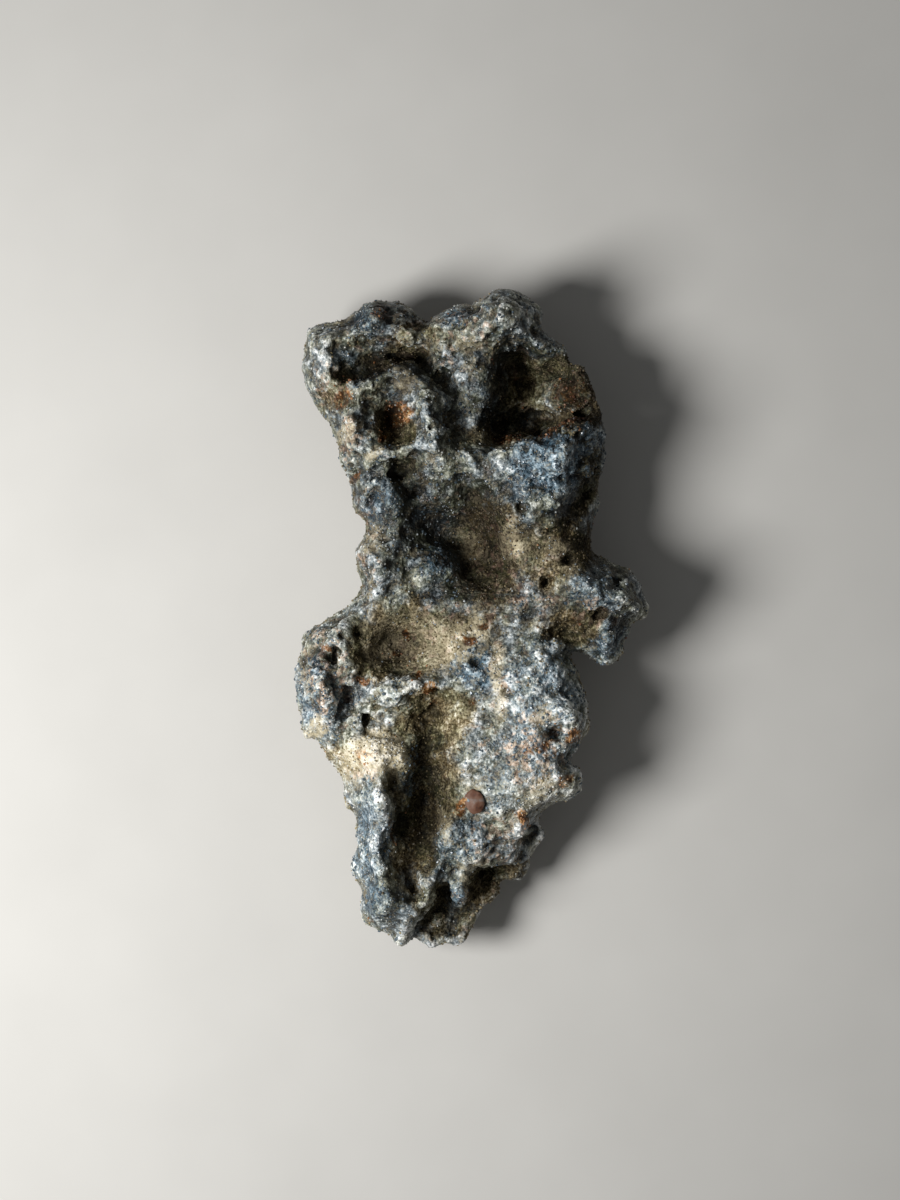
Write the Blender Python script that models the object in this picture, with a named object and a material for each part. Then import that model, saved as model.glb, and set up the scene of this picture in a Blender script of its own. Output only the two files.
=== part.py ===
"""A fulgurite: one crusted lump of fused sand, lying on its back.

Metres, +Z up. The long side runs along Y, the sandy front faces up, and the back rests on
a few flat feet at z = 0. The origin is under the middle of the box, at the bottom.
Every shape below is written in millimetres and made metres at the end.
"""

import math

import bmesh
import bpy
import numpy as np

MM = 0.001

# Driving dimensions, in millimetres.
RIM_HEIGHT = 8.6  # the outline's height above the surface that the lump lies on
RIM_SWAY = 1.7  # how far the rim rises and falls on its way round
RIM_SWAY_SIZE = 15
RIM_RIPPLE_SIZE = 7  # a second, smaller rise and fall, half as high
TIP_DROP = 2.0  # how much lower the rim is at the narrow end
TIP_START = -24  # where along the lump that drop begins
TIP_LENGTH = 16
FRONT_RISE = 5.4  # from the rim up to the level of the front
FRONT_REACH = 5.0  # how far in from the rim the front comes level
RIGHT_REACH = 3.0  # the same on the steeper lower right edge
RIGHT_FROM = (3, 6)  # that edge is right of this x and below this y
RIGHT_FADE = 5.5
BACK_DEPTH = 5.6  # from the rim down to the level of the back
BACK_REACH = 8.0
FOOT_BELOW = 0.6  # how far a foot would go under the floor before it is cut flat
FOOT_CURVE = 6.5  # how fast a foot rises from its middle to its ellipse's edge
SIDE_CARVE = 2.2  # how deep the sides are eaten away below the rim
SIDE_CARVE_SIZE = 4.5
CARVE_START = 4  # how far from the rim's height the carving is at its full depth
CARVE_REACH = 7  # how far in from the outline it fades to nothing
FRONT_CARVE = 0.35  # the share of that above the rim
SWELL_SIZE = 4.2  # soft swellings all over
SWELL_HEIGHT = 0.45
NODULE_SIZE = 3.0  # round nodules of melted sand all over
NODULE_HEIGHT = 0.75
BEAD_SIZE = 1.5
BEAD_HEIGHT = 0.3
WANDER = 0.8  # how far the edges of the forms stray from their plain ellipses
WANDER_SIZE = 5
WANDER_FINE_SIZE = 2
THINNEST = 0.8  # the least thickness anywhere
RIM_FADE = 1.5  # how far in from the rim the relief reaches its full height
CREASE = 4  # the height over which a foot's crease is rounded
PROBE = 0.2  # how far apart the rim's distance is read to find its direction
OUTLINE_STEPS = 4  # points along the curve from one corner of a line to the next
STEP_STEPS = 3
SLAB_HEIGHT = 10
SLAB_VOXEL = 0.8
SKIN_VOXEL = 0.62
TRIANGLES = 9000

# The outline, clockwise from the top left corner, as (x, y).
OUTLINE = [
    (-19.9, 34.4), (-16.6, 35.4), (-13.5, 36.7), (-12.2, 38), (-8.5, 38.1), (-7.1, 37.3), (-6.4, 36.1),
    (-5.3, 35.3), (-1.5, 37.5), (-0.2, 37.5), (2.8, 39.1), (4.7, 39.5), (8.1, 36.9),
    (8.3, 34.7), (11.3, 32.2), (11.6, 30.7), (13.3, 30.3), (16.1, 22.4), (15.1, 15.5),
    (15.3, 13.1), (14.2, 9.4), (14.9, 8), (19.5, 5.6), (20.9, 1.7), (20.6, 0.5),
    (19, -0.3), (18.9, -1.7), (18.2, -2.7), (18.1, -3.9), (17.2, -5), (16, -5.5),
    (13.7, -3.9), (12.4, -3.7), (11.8, -4.1), (14.1, -11.3), (13.1, -14.5), (11.9, -16.9),
    (12.7, -17.8), (13.3, -19.5), (12.7, -20.6), (8.6, -23.1), (8.5, -24.2), (9.1, -25.5),
    (8.6, -26.8), (7.4, -28.1), (6.7, -29.5), (6.5, -30.8), (5.7, -31.5), (3.5, -31.5),
    (3.1, -33.1), (1.7, -34.6), (1, -36.1), (-0.1, -36.9), (-0.4, -38.2), (-1.7, -39.2),
    (-3.2, -38.9), (-4.9, -39.5), (-5.7, -38.5), (-7.1, -38.2), (-7.9, -39.1), (-8.8, -39.1),
    (-9.8, -37.7), (-11.3, -37.5), (-12.8, -36.8), (-13.3, -35.1), (-13.3, -32.8), (-14.2, -30.2),
    (-13.5, -25.5), (-13.5, -23), (-14.6, -22.5), (-15.1, -19.4), (-17.9, -15.9), (-18.5, -14.2),
    (-19.9, -14.1), (-20.2, -11.1), (-20.9, -8.5), (-20.8, -5), (-19.7, -2), (-17.5, 0.1),
    (-13.3, 3.3), (-13.6, 7.7), (-12.5, 10), (-12.5, 11.6), (-13.9, 13.5), (-14.5, 17),
    (-15.7, 19.4), (-16.3, 21.8), (-19.4, 27.3),
]

# Steps in level: (height, how wide the slope at its edge is, its outline).
STEPS = {
    "blue_shelf": (2.8, 0.8, [
        (-1.1, 20.1), (1.3, 19.6), (3.4, 20.3), (6.1, 21.1), (8.3, 21.4), (9.5, 22.5),
        (11.3, 23.2), (13.4, 23.3), (15.4, 22), (15.8, 20.3), (14.2, 17.5), (12.3, 15.1),
        (11.2, 14.6), (10.1, 12.9), (8.8, 12.9), (7.3, 11.3), (4.4, 11.2), (3.1, 13.4),
        (2.2, 15.3), (0.3, 16.5),
    ]),
    "great_pit": (-6.6, 1.5, [
        (3.2, 31.7), (4.6, 33.2), (6.4, 33.4), (9.2, 32.2), (11.3, 30.3), (13.3, 27.9),
        (14.2, 25.4), (14, 23.6), (11.3, 23.2), (9.5, 22.6), (8.3, 21.6), (6.1, 21.2),
        (3.4, 20.4), (1.9, 21.5), (2.2, 24), (3.0, 27), (2.9, 29.6),
    ]),
    "pit_cliff": (-2.8, 0.8, [
        (2.6, 20.5), (4.5, 21.5), (6.3, 21.8), (8.2, 22.2), (9.4, 23.2), (11.2, 23.8), (13, 23.8),
        (12.4, 25.2), (10.4, 25.8), (8, 25.4), (5, 24.9), (2.5, 24.1),
    ]),
    "cave": (-2.8, 1.2, [
        (-13.4, 28.6), (-12.8, 30.2), (-11.6, 31.9), (-10.2, 31.8), (-8.3, 32.7), (-6.2, 31.7),
        (-4.2, 30.6), (-5.3, 29.5), (-7.2, 30.2), (-9.3, 30.1), (-11.3, 29.2), (-12.6, 28),
    ]),
    "under_layer": (-5.4, 0.8, [
        (12.4, -21.2), (10.1, -21.7), (8.8, -22), (7.9, -23.5), (7.4, -25.3), (6.5, -27.9),
        (4, -29.3), (1.7, -29.8), (0.2, -31), (-0.5, -32.5), (-0.8, -34.3), (-1.9, -35),
        (-2.7, -33.7), (-2.9, -32.2), (-3.7, -32.8), (-4.7, -34.6), (-6.2, -36.3),
        (-7.4, -37.7), (-8.1, -39.9), (1, -40.9), (10.6, -33.7), (15.4, -21.7),
    ]),
}

# Lumps: (x, y, half width, half length, turn in degrees, height).
LUMPS = {
    "top_left_corner": (-17.9, 32.1, 3.4, 4.3, 20, 2.2),
    "top_left_edge": (-15.2, 34, 3.4, 2.2, -20, 1.6),
    "top_left_knob": (-11.9, 35.6, 3.3, 2.7, 15, 3.0),
    "green_boss": (-7.8, 33.9, 2.7, 2.1, -20, 2.2),
    "left_cheek": (-17, 28.1, 2.2, 2.6, 0, 1.6),
    "top_right_block": (2.5, 36, 6.8, 4.2, -12, 4.6),
    "top_right_foot": (-2.6, 33.4, 3.6, 3.4, 0, 2.4),
    "saddle_sand": (-3.8, 30.4, 2.2, 2.2, 0, 1.2),
    "pit_column": (0.8, 27.3, 3.0, 5.8, 4, 1.6),
    "pit_boulder": (8.6, 31.9, 2.8, 2.4, 0, 4.4),
    "pit_wall": (12.4, 26.6, 2.9, 4.6, 18, 3.4),
    "ring_shoulder": (-5.2, 23.9, 2.6, 5.2, 0, 2.4),
    "cream_bead": (-14.6, 22.5, 1.8, 1.9, 0, 2.0),
    "left_bead": (-14.3, 20.1, 1.9, 1.4, 0, 1.2),
    "column_upper": (-12.7, 15.3, 2.3, 5.4, 0, 1.8),
    "column_lower": (-11.3, 7.1, 2.9, 5.6, 0, 2.4),
    "column_inner": (-9.5, 14.3, 2.0, 3.8, 0, 1.6),
    "plateau": (-2.6, 18.7, 4.3, 3.1, 0, 2.4),
    "middle_boss": (-4.1, 6.4, 3.3, 2.9, 0, 3.2),
    "middle_boss_tip": (-2.5, 7.1, 1.4, 1.4, 0, 1),
    "shelf_crown": (10.1, 19.6, 5, 3.1, 28, 2.6),
    "shelf_left": (4.9, 17.9, 3.1, 3.3, 0, 1.4),
    "shelf_low": (7, 13.7, 4, 2.4, 20, 1.4),
    "shelf_foot": (10, 11.8, 3.6, 2.4, 32, 1.3),
    "valley_rib": (5, 10.1, 1.7, 4.3, 10, 1.6),
    "right_shoulder": (10.6, 8.9, 5.3, 4.8, 0, 1.4),
    "knob": (15, 3.1, 5.6, 4.6, 0, 2.2),
    "knob_ridge": (18.3, 2.8, 2, 3.6, 10, 1.6),
    "knob_low": (16.1, -2.2, 3, 3.4, 0, 1.8),
    "knob_top": (12.8, 4.7, 2.8, 2.6, 0, 1.2),
    "lobe_rim": (-18.2, -8.5, 2.9, 7.4, 8, 2.8),
    "lobe_top": (-15.8, -1, 3.8, 2.6, 40, 2.2),
    "lobe_inner": (-14.9, -5.1, 1.5, 4.8, 0, 1.6),
    "divide": (-7.4, -7.7, 6.9, 2, 4, 2.2),
    "blue_patch": (0.5, -5.8, 3.1, 3.3, 0, 0.8),
    "right_swell": (6, -8.5, 8, 7.6, 0, 2.4),
    "right_swell_low": (5, -19.3, 8, 7.6, 0, 2.2),
    "edge_bead_a": (12.1, -10.4, 2.1, 2.4, 0, 1.6),
    "edge_bead_b": (11.3, -14.7, 2.1, 1.9, 0, 1.6),
    "edge_bead_c": (11.3, -18.8, 2.4, 2.4, 0, 1.8),
    "edge_bead_d": (7.3, -25.3, 2.1, 2.1, 0, 1.8),
    "cream_ledge": (-10.7, -16.3, 4.2, 2.8, -10, 2.8),
    "thumb": (-11.6, -23.1, 3.4, 5.7, 0, 4.0),
    "thumb_edge": (-9.9, -20.2, 1.8, 4.2, 5, 1.4),
    "thumb_low": (-11.6, -29.6, 3.2, 5.2, 0, 3.4),
    "heel": (-10.3, -34.2, 4.0, 3.2, -10, 3.4),
    "tongue_root": (-7.2, -15.8, 2.2, 2.4, 0, 1.6),
    "rust_pebble": (-0.1, -22, 1.9, 1.4, 0, 1.8),
    "lower_swell": (-0.2, -26.5, 4.3, 3.1, -20, 1.8),
    "drip": (-1.7, -33.2, 1.2, 2, 0, 2.4),
    "under_a": (-4.7, -37.5, 2.7, 2, 0, 2),
    "under_b": (-1.1, -36.7, 2.3, 2.3, 0, 1.4),
    "under_c": (2, -32.7, 2, 2.3, 0, 1.8),
    "under_d": (5.1, -30.3, 2, 1.3, 0, 2.2),
    "under_e": (-8.1, -38, 1.4, 1.6, 0, 1.6),
}

# Rounded ridges that follow a line: (half width, height, points).
RIDGES = {
    "rust_ring": (1.5, 3.0, [
        (-13.6, 20.8), (-14, 24), (-13.3, 26.6), (-11.7, 28.1), (-9.2, 29), (-6.6, 28.8),
        (-4.8, 27), (-4.1, 24), (-4.4, 20.9),
    ]),
    "ring_foot": (1.0, 2.4, [(-11.4, 20.2), (-9, 19.9), (-6.5, 20.3)]),
    "shelf_edge": (0.9, 1.3, [
        (-0.4, 19.6), (3.4, 19.9), (6.1, 20.5), (8.8, 21.1), (10.9, 22.4), (13.3, 22.7),
    ]),
    "waist": (1.4, 0.8, [(-13.1, 2.3), (-8.6, 2), (-2.6, 1.9), (3.4, 1.6), (8.8, 2.3)]),
    "tongue_rib": (0.9, 2.5, [(-7.6, -16.8), (-7.2, -18.6), (-7.1, -20.6), (-7.6, -22.4)]),
    "groove_lip": (1.0, 2.0, [
        (-2.3, -24.3), (-3.3, -27.7), (-4.3, -31), (-5.5, -33.7), (-7.4, -35.8), (-8.1, -37.5),
    ]),
}

# Hollows: (x, y, half width, half length, turn in degrees, depth, share taken by the wall).
HOLLOWS = {
    "slot": (-8.4, 31.3, 3.8, 1.5, -4, 2.4, 0.9),
    "cheek_dip": (-14.6, 29.4, 2.4, 2.2, 0, 1.6, 1),
    "notch": (-3.4, 28.9, 2, 1.3, 20, 1.8, 0.9),
    "pit_deep": (6.4, 27.6, 3.2, 5.3, 4, 2.2, 1),
    "pit_left": (2.6, 23, 2.6, 2.2, 0, 1.6, 1),
    "pit_gap": (14.3, 23.9, 1.3, 1.8, -25, 5, 0.6),
    "rust_hole": (-9.1, 23.2, 2.1, 2.7, 6, 2.2, 0.5),
    "pocket": (-7.9, 17.5, 2.6, 2.3, 12, 1.8, 0.9),
    "pocket_tail": (-6.2, 15.3, 2, 1.6, 0, 2, 0.9),
    "vesicle": (-11.8, 14.2, 1.1, 1.8, 0, 1.8, 0.8),
    "valley": (-1.1, 8.9, 7.9, 7.6, 0, 5.4, 1),
    "valley_head": (-5.4, 12, 3.4, 5, -10, 1.6, 0.9),
    "shelf_back": (13.5, 15.1, 2.6, 5, -18, 2.2, 1),
    "knob_hollow": (17.1, 4.7, 1.3, 1.8, 0, 2.4, 0.8),
    "knob_saddle": (14.7, 0.9, 2.4, 1.4, 25, 2, 0.9),
    "neck": (10.9, -1.5, 2.8, 2.1, 0, 2.6, 1),
    "neck_left": (7, 0.7, 1.6, 1.3, 0, 1.2, 0.9),
    "bowl": (-7.9, -3.2, 7.2, 4.6, -4, 3.6, 1),
    "bowl_left": (-11.7, -4.9, 2.8, 3.3, 0, 0.6, 1),
    "lobe_cavity_a": (-15.3, -1.6, 1.5, 1, -20, 2.4, 0.7),
    "lobe_cavity_b": (-15.1, -6.3, 1.4, 1.1, 0, 1.8, 0.8),
    "groove_top": (-3.8, -12.3, 4, 4, 0, 2.8, 1),
    "groove": (-5.5, -21.7, 4.5, 10.4, 4, 5.4, 1),
    "groove_wall": (-8.6, -22.4, 1.3, 6.4, 4, 2.2, 0.8),
    "groove_middle": (-7.2, -26.6, 2.4, 4.6, 8, 1.4, 0.9),
    "groove_low": (-7.9, -29.6, 3, 2.8, -10, 1.8, 0.9),
    "groove_end": (-6.9, -32.5, 1.9, 2.8, 25, 2, 0.9),
    "thumb_back": (-10.2, -27.7, 1.2, 3.1, 0, 1.0, 1),
    "lobe_back": (-15.1, -10.6, 2, 4.4, 0, 1.6, 1),
    "low_pit": (-12.1, -12.3, 1.4, 1.3, 0, 2.4, 0.8),
    "right_crease": (4.3, -8.5, 1.9, 1.6, -20, 1.4, 1),
    "edge_hole": (9.9, -13.7, 1.5, 1.3, 0, 2.8, 0.8),
    "drip_pit": (-3.2, -33.1, 1.1, 1.3, 0, 2.6, 0.8),
    "recess": (1.5, -31, 2.4, 1.3, -20, 2.8, 0.8),
}

# The feet on the back: (x, y, half width, half length, turn in degrees).
FEET = {
    "foot_top_left": (-9.5, 29, 7, 5.6, 20),
    "foot_top_right": (8, 25, 5.8, 7, 0),
    "foot_left": (-12.5, -9, 6.4, 7.4, 10),
    "foot_middle": (-0.5, 1.5, 6, 6, 0),
    "foot_right": (7, -13.5, 5.6, 6.6, 0),
    "foot_low": (-6.5, -30, 5.6, 6, 0),
}
# The back, seen through the lump, with its lumps standing towards the floor.
BACK_LUMPS = {
    "back_ridge": (-6, 16, 2.4, 8, 12, 1.8),
    "back_bead_a": (3, 35, 3.6, 2.2, -15, 2.2),
    "back_bead_b": (-15.6, 22, 2.2, 3.4, 10, 2.0),
    "back_bead_c": (11.5, 12, 2.6, 4.4, 0, 2.2),
    "back_bead_d": (15.5, 0.5, 3.2, 3.8, 20, 2.8),
    "back_bead_e": (-17, -4, 2.2, 4, 10, 1.8),
    "back_bead_f": (1.5, -26, 3.2, 3.6, 30, 2.0),
    "back_bead_g": (-1, -20, 2.4, 3.2, 0, 1.4),
}
BACK_HOLLOWS = {
    "back_groove": (1, 14, 2.6, 9, 10, 3.0, 1),
    "back_dish": (-3, -3.5, 6, 3.4, -10, 2.6, 1),
    "back_pit_a": (-12, 14, 1.9, 2.6, 0, 2.6, 0.8),
    "back_pit_b": (9.5, 3.5, 2.2, 1.7, 0, 2.6, 0.8),
    "back_pit_c": (-4.5, -18, 2.2, 3.4, 20, 2.4, 0.9),
    "back_pit_d": (0, 30, 3, 2.2, 0, 2.2, 0.9),
    "back_pit_e": (7.5, -22.5, 1.8, 2.4, -20, 2.0, 0.8),
    "back_pit_f": (-12.5, -20, 1.7, 2.8, 0, 2.0, 0.9),
}


def smooth(t):
    """0 up to 1 with level ends."""
    t = np.clip(t, 0, 1)
    return t * t * (3 - 2 * t)


def chance(column, row, layer, seed):
    """A fixed random number from 0 to 1 for each cell of a grid."""
    bits = column * 374761393 + row * 668265263 + layer * 1442695041 + seed * 974634777
    bits = bits & 0xFFFFFFFF
    bits = ((bits ^ (bits >> 13)) * 1274126177) & 0xFFFFFFFF
    bits = bits ^ (bits >> 16)
    return (bits & 0xFFFF) / 65535.0


def noise(x, y, z, size, seed):
    """Smooth bumps from -1 to 1, each about size across."""
    place = np.stack(np.broadcast_arrays(x, y, z)) / size
    cell = np.floor(place).astype(np.int64)
    part = smooth(place - cell)
    total = 0
    for corner in np.ndindex(2, 2, 2):
        share = 1
        for axis, side in enumerate(corner):
            share = share * (part[axis] if side else 1 - part[axis])
        total = total + share * chance(*(cell + np.reshape(corner, (3,) + (1,) * x.ndim)), seed)
    return 2 * total - 1


def rounded(corners, steps):
    """A closed curve through the corners, with handles a third of each side long."""
    here = np.array(corners, float)
    after = np.roll(here, -1, axis=0)
    along = after - np.roll(here, 1, axis=0)
    along /= np.linalg.norm(along, axis=1)[:, None]
    third = np.linalg.norm(after - here, axis=1)[:, None] / 3
    leave = here + along * third
    arrive = after - np.roll(along, -1, axis=0) * third
    curve = []
    for step in range(steps):
        t = step / steps
        curve.append(
            (1 - t) ** 3 * here
            + 3 * (1 - t) ** 2 * t * leave
            + 3 * (1 - t) * t**2 * arrive
            + t**3 * after
        )
    return np.stack(curve, axis=1).reshape(-1, 2)


def from_segment(x, y, start, end):
    """How far each point is from a straight line's stretch."""
    dx, dy = end[0] - start[0], end[1] - start[1]
    t = np.clip(((x - start[0]) * dx + (y - start[1]) * dy) / (dx * dx + dy * dy), 0, 1)
    return np.hypot(x - start[0] - t * dx, y - start[1] - t * dy)


def from_line(x, y, points):
    """How far each point is from an open line."""
    nearest = np.full(x.shape, np.inf)
    for start, end in zip(points, points[1:]):
        nearest = np.minimum(nearest, from_segment(x, y, start, end))
    return nearest


def depth_in(x, y, loop):
    """How far each point is inside a closed line, less than 0 outside it."""
    nearest = np.full(x.shape, np.inf)
    inside = np.zeros(x.shape, bool)
    for start, end in zip(loop, np.roll(loop, -1, axis=0)):
        nearest = np.minimum(nearest, from_segment(x, y, start, end))
        if start[1] != end[1]:
            slope = (end[0] - start[0]) / (end[1] - start[1])
            level = (start[1] > y) != (end[1] > y)
            inside ^= level & (x < start[0] + slope * (y - start[1]))
    return np.where(inside, nearest, -nearest)


def in_ellipse(x, y, centre_x, centre_y, half_width, half_length, turn):
    """0 at an ellipse's middle, 1 at its edge."""
    angle = math.radians(turn)
    dx, dy = x - centre_x, y - centre_y
    across = dx * math.cos(angle) + dy * math.sin(angle)
    along = dy * math.cos(angle) - dx * math.sin(angle)
    return np.hypot(across / half_width, along / half_length)


def lumps(x, y, table):
    total = 0
    for *ellipse, height in table.values():
        total = total + height * np.clip(1 - in_ellipse(x, y, *ellipse) ** 2, 0, 1) ** 1.5
    return total


def hollows(x, y, table):
    total = 0
    for *ellipse, depth, wall in table.values():
        total = total + depth * smooth((1 - in_ellipse(x, y, *ellipse)) / wall)
    return total


def strayed(x, y, seed):
    """The same places moved a little, so that no form keeps a plain edge."""
    stray_x = noise(x, y, 0, WANDER_SIZE, seed)
    stray_x = stray_x + 0.5 * noise(x, y, 0, WANDER_FINE_SIZE, seed + 1)
    stray_y = noise(x, y, 0, WANDER_SIZE, seed + 2)
    stray_y = stray_y + 0.5 * noise(x, y, 0, WANDER_FINE_SIZE, seed + 3)
    return x + WANDER * stray_x, y + WANDER * stray_y


def beads(x, y, z, size, seed):
    """Round bumps side by side: 1 at the middle of each, falling to 0 in the creases."""
    place = np.stack([x, y, z]) / size
    cell = np.floor(place).astype(np.int64)
    nearest = np.full(x.shape, np.inf)
    for offset in np.ndindex(3, 3, 3):
        near = cell + np.reshape(offset, (3, 1)) - 1
        middle = np.stack([near[axis] + chance(*near, seed + axis) for axis in range(3)])
        nearest = np.minimum(nearest, np.sum((middle - place) ** 2, axis=0))
    return np.clip(1 - nearest, 0, 1)


def dome(depth, reach):
    """0 at the rim, 1 where the surface has come level, as a quarter circle."""
    return np.sqrt(1 - (1 - np.clip(depth / reach, 0, 1)) ** 2)


def rim_height(x, y):
    """The height of the rim, or of the level between the front and the back."""
    sway = noise(x, y, 0, RIM_SWAY_SIZE, 41) + 0.5 * noise(x, y, 0, RIM_RIPPLE_SIZE, 42)
    return RIM_HEIGHT + RIM_SWAY * sway - TIP_DROP * smooth((TIP_START - y) / TIP_LENGTH)


def front_height(x, y, depth):
    """Height of the sandy front over each point."""
    steep = smooth((x - RIGHT_FROM[0]) / RIGHT_FADE) * smooth((RIGHT_FROM[1] - y) / RIGHT_FADE)
    reach = FRONT_REACH + (RIGHT_REACH - FRONT_REACH) * steep
    height = rim_height(x, y) + FRONT_RISE * dome(depth, reach)
    inner = smooth(depth / RIM_FADE)
    x2, y2 = strayed(x, y, 1)
    relief = lumps(x2, y2, LUMPS) - hollows(x2, y2, HOLLOWS)
    for step, slope, corners in STEPS.values():
        depth_in_step = depth_in(x2, y2, rounded(corners, STEP_STEPS))
        relief = relief + step * smooth(0.5 + depth_in_step / slope / 2)
    for half_width, ridge, points in RIDGES.values():
        relief = relief + ridge * np.exp(-((from_line(x2, y2, points) / half_width) ** 2))
    return height + inner * relief


def back_height(x, y, depth):
    """Height of the hidden back under each point, with feet that reach the floor."""
    x2, y2 = strayed(x, y, 21)
    relief = lumps(x2, y2, BACK_LUMPS) - hollows(x2, y2, BACK_HOLLOWS)
    height = rim_height(x, y) - BACK_DEPTH * dome(depth, BACK_REACH)
    height = height - smooth(depth / RIM_FADE) * relief
    for ellipse in FEET.values():
        foot = FOOT_CURVE * in_ellipse(x2, y2, *ellipse) ** 2 - FOOT_BELOW
        height = softer_lower(height, foot)
    return height


def softer_lower(a, b):
    """The lower of two heights, with the crease between them rounded."""
    share = np.clip(0.5 + (b - a) / CREASE, 0, 1)
    return b + (a - b) * share - CREASE / 2 * share * (1 - share)


def carved(x, y, z, depth):
    """Moves the sides inwards by uneven amounts, and not at all at the rim itself."""
    loop = rounded(OUTLINE, OUTLINE_STEPS)
    inward_x = (depth_in(x + PROBE, y, loop) - depth) / PROBE
    inward_y = (depth_in(x, y + PROBE, loop) - depth) / PROBE
    above = z - rim_height(x, y)
    away = smooth(np.abs(above) / CARVE_START) * smooth(1 - depth / CARVE_REACH)
    away = away * np.where(above > 0, FRONT_CARVE, 1)
    carve = SIDE_CARVE * away * (0.5 + 0.5 * noise(x, y, z, SIDE_CARVE_SIZE, 51))
    carve = carve + 0.4 * SIDE_CARVE * away * noise(x, y, z, SIDE_CARVE_SIZE / 2, 52)
    return x + carve * inward_x, y + carve * inward_y


def evaluated_mesh(shape):
    """The mesh that the object's modifiers make, as a mesh of its own."""
    graph = bpy.context.evaluated_depsgraph_get()
    return bpy.data.meshes.new_from_object(shape.evaluated_get(graph))


def remeshed(shape, voxel):
    """The same object with its mesh remade from even voxels."""
    remesh = shape.modifiers.new("Even mesh", "REMESH")
    remesh.mode = "VOXEL"
    remesh.voxel_size = voxel
    mesh = evaluated_mesh(shape)
    shape.modifiers.clear()
    shape.data = mesh


def slab():
    """The outline as a plate of even thickness, ready to be shaped."""
    bm = bmesh.new()
    corners = [bm.verts.new((x * MM, y * MM, 0)) for x, y in rounded(OUTLINE, OUTLINE_STEPS)]
    plate = bm.faces.new(corners)
    raised = bmesh.ops.extrude_face_region(bm, geom=[plate])
    top = [item for item in raised["geom"] if isinstance(item, bmesh.types.BMVert)]
    bmesh.ops.translate(bm, verts=top, vec=(0, 0, SLAB_HEIGHT * MM))
    bmesh.ops.recalc_face_normals(bm, faces=bm.faces)
    mesh = bpy.data.meshes.new("fulgurite")
    bm.to_mesh(mesh)
    bm.free()
    shape = bpy.data.objects.new("fulgurite", mesh)
    bpy.context.scene.collection.objects.link(shape)
    remeshed(shape, SLAB_VOXEL * MM)
    return shape


def moulded(shape):
    """Stretches the plate between the back's height and the front's."""
    mesh = shape.data
    flat = np.empty(len(mesh.vertices) * 3)
    mesh.vertices.foreach_get("co", flat)
    x, y, z = flat.reshape(-1, 3).T / MM
    depth = np.clip(depth_in(x, y, rounded(OUTLINE, OUTLINE_STEPS)), 0, None)
    share = np.clip(z / SLAB_HEIGHT, 0, 1)
    low, high = back_height(x, y, depth), front_height(x, y, depth)
    z = low + share * np.clip(high - low, THINNEST, None)
    x, y = carved(x, y, z, depth)
    placed = np.stack([x, y, z], axis=1) * MM
    mesh.vertices.foreach_set("co", placed.ravel())
    mesh.update()
    remeshed(shape, SKIN_VOXEL * MM)


def crusted(shape):
    """Raises soft swellings and nodules square to the surface, wherever it faces."""
    mesh = shape.data
    flat = np.empty(len(mesh.vertices) * 3)
    mesh.vertices.foreach_get("co", flat)
    places = flat.reshape(-1, 3).T / MM
    outward = np.empty(len(mesh.vertices) * 3)
    mesh.vertices.foreach_get("normal", outward)
    raised = SWELL_HEIGHT * noise(*places, SWELL_SIZE, 61)
    raised = raised + NODULE_HEIGHT * (beads(*places, NODULE_SIZE, 62) - 0.7)
    raised = raised + BEAD_HEIGHT * (beads(*places, BEAD_SIZE, 65) - 0.7)
    placed = (places + raised * outward.reshape(-1, 3).T).T * MM
    mesh.vertices.foreach_set("co", placed.ravel())
    mesh.update()


def thinned(shape):
    """Fewer triangles where the surface is plain."""
    mesh = shape.data
    mesh.calc_loop_triangles()
    decimate = shape.modifiers.new("Fewer faces", "DECIMATE")
    decimate.ratio = TRIANGLES / len(mesh.loop_triangles)
    decimate.use_collapse_triangulate = True
    mesh = evaluated_mesh(shape)
    shape.modifiers.clear()
    shape.data = mesh


def rested(shape):
    """Cuts the feet flat at z = 0 and sets the box's middle over the origin."""
    bm = bmesh.new()
    bm.from_mesh(shape.data)
    everything = bm.verts[:] + bm.edges[:] + bm.faces[:]
    bmesh.ops.bisect_plane(
        bm, geom=everything, dist=1e-6, plane_co=(0, 0, 0), plane_no=(0, 0, -1), clear_outer=True
    )
    open_edges = [edge for edge in bm.edges if edge.is_boundary]
    bmesh.ops.holes_fill(bm, edges=open_edges, sides=0)
    bmesh.ops.triangulate(bm, faces=[face for face in bm.faces if len(face.verts) > 3])
    bmesh.ops.recalc_face_normals(bm, faces=bm.faces)
    xs = [vert.co.x for vert in bm.verts]
    ys = [vert.co.y for vert in bm.verts]
    middle = ((min(xs) + max(xs)) / 2, (min(ys) + max(ys)) / 2)
    bmesh.ops.translate(bm, verts=bm.verts, vec=(-middle[0], -middle[1], 0))
    bm.to_mesh(shape.data)
    bm.free()


def fused_sand():
    """Sand melted to a dull blue-grey glass with tan grains."""
    material = bpy.data.materials.new("Fused sand")
    material.use_nodes = True
    shader = material.node_tree.nodes["Principled BSDF"]
    shader.inputs["Base Color"].default_value = (0.14, 0.14, 0.14, 1)
    shader.inputs["Roughness"].default_value = 0.75
    shader.inputs["Metallic"].default_value = 0
    return material


def main():
    for old in list(bpy.data.objects):
        bpy.data.objects.remove(old)
    shape = slab()
    moulded(shape)
    crusted(shape)
    thinned(shape)
    rested(shape)
    shape.data.materials.append(fused_sand())
    shape.data.shade_smooth()


main()
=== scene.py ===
import math

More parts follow.
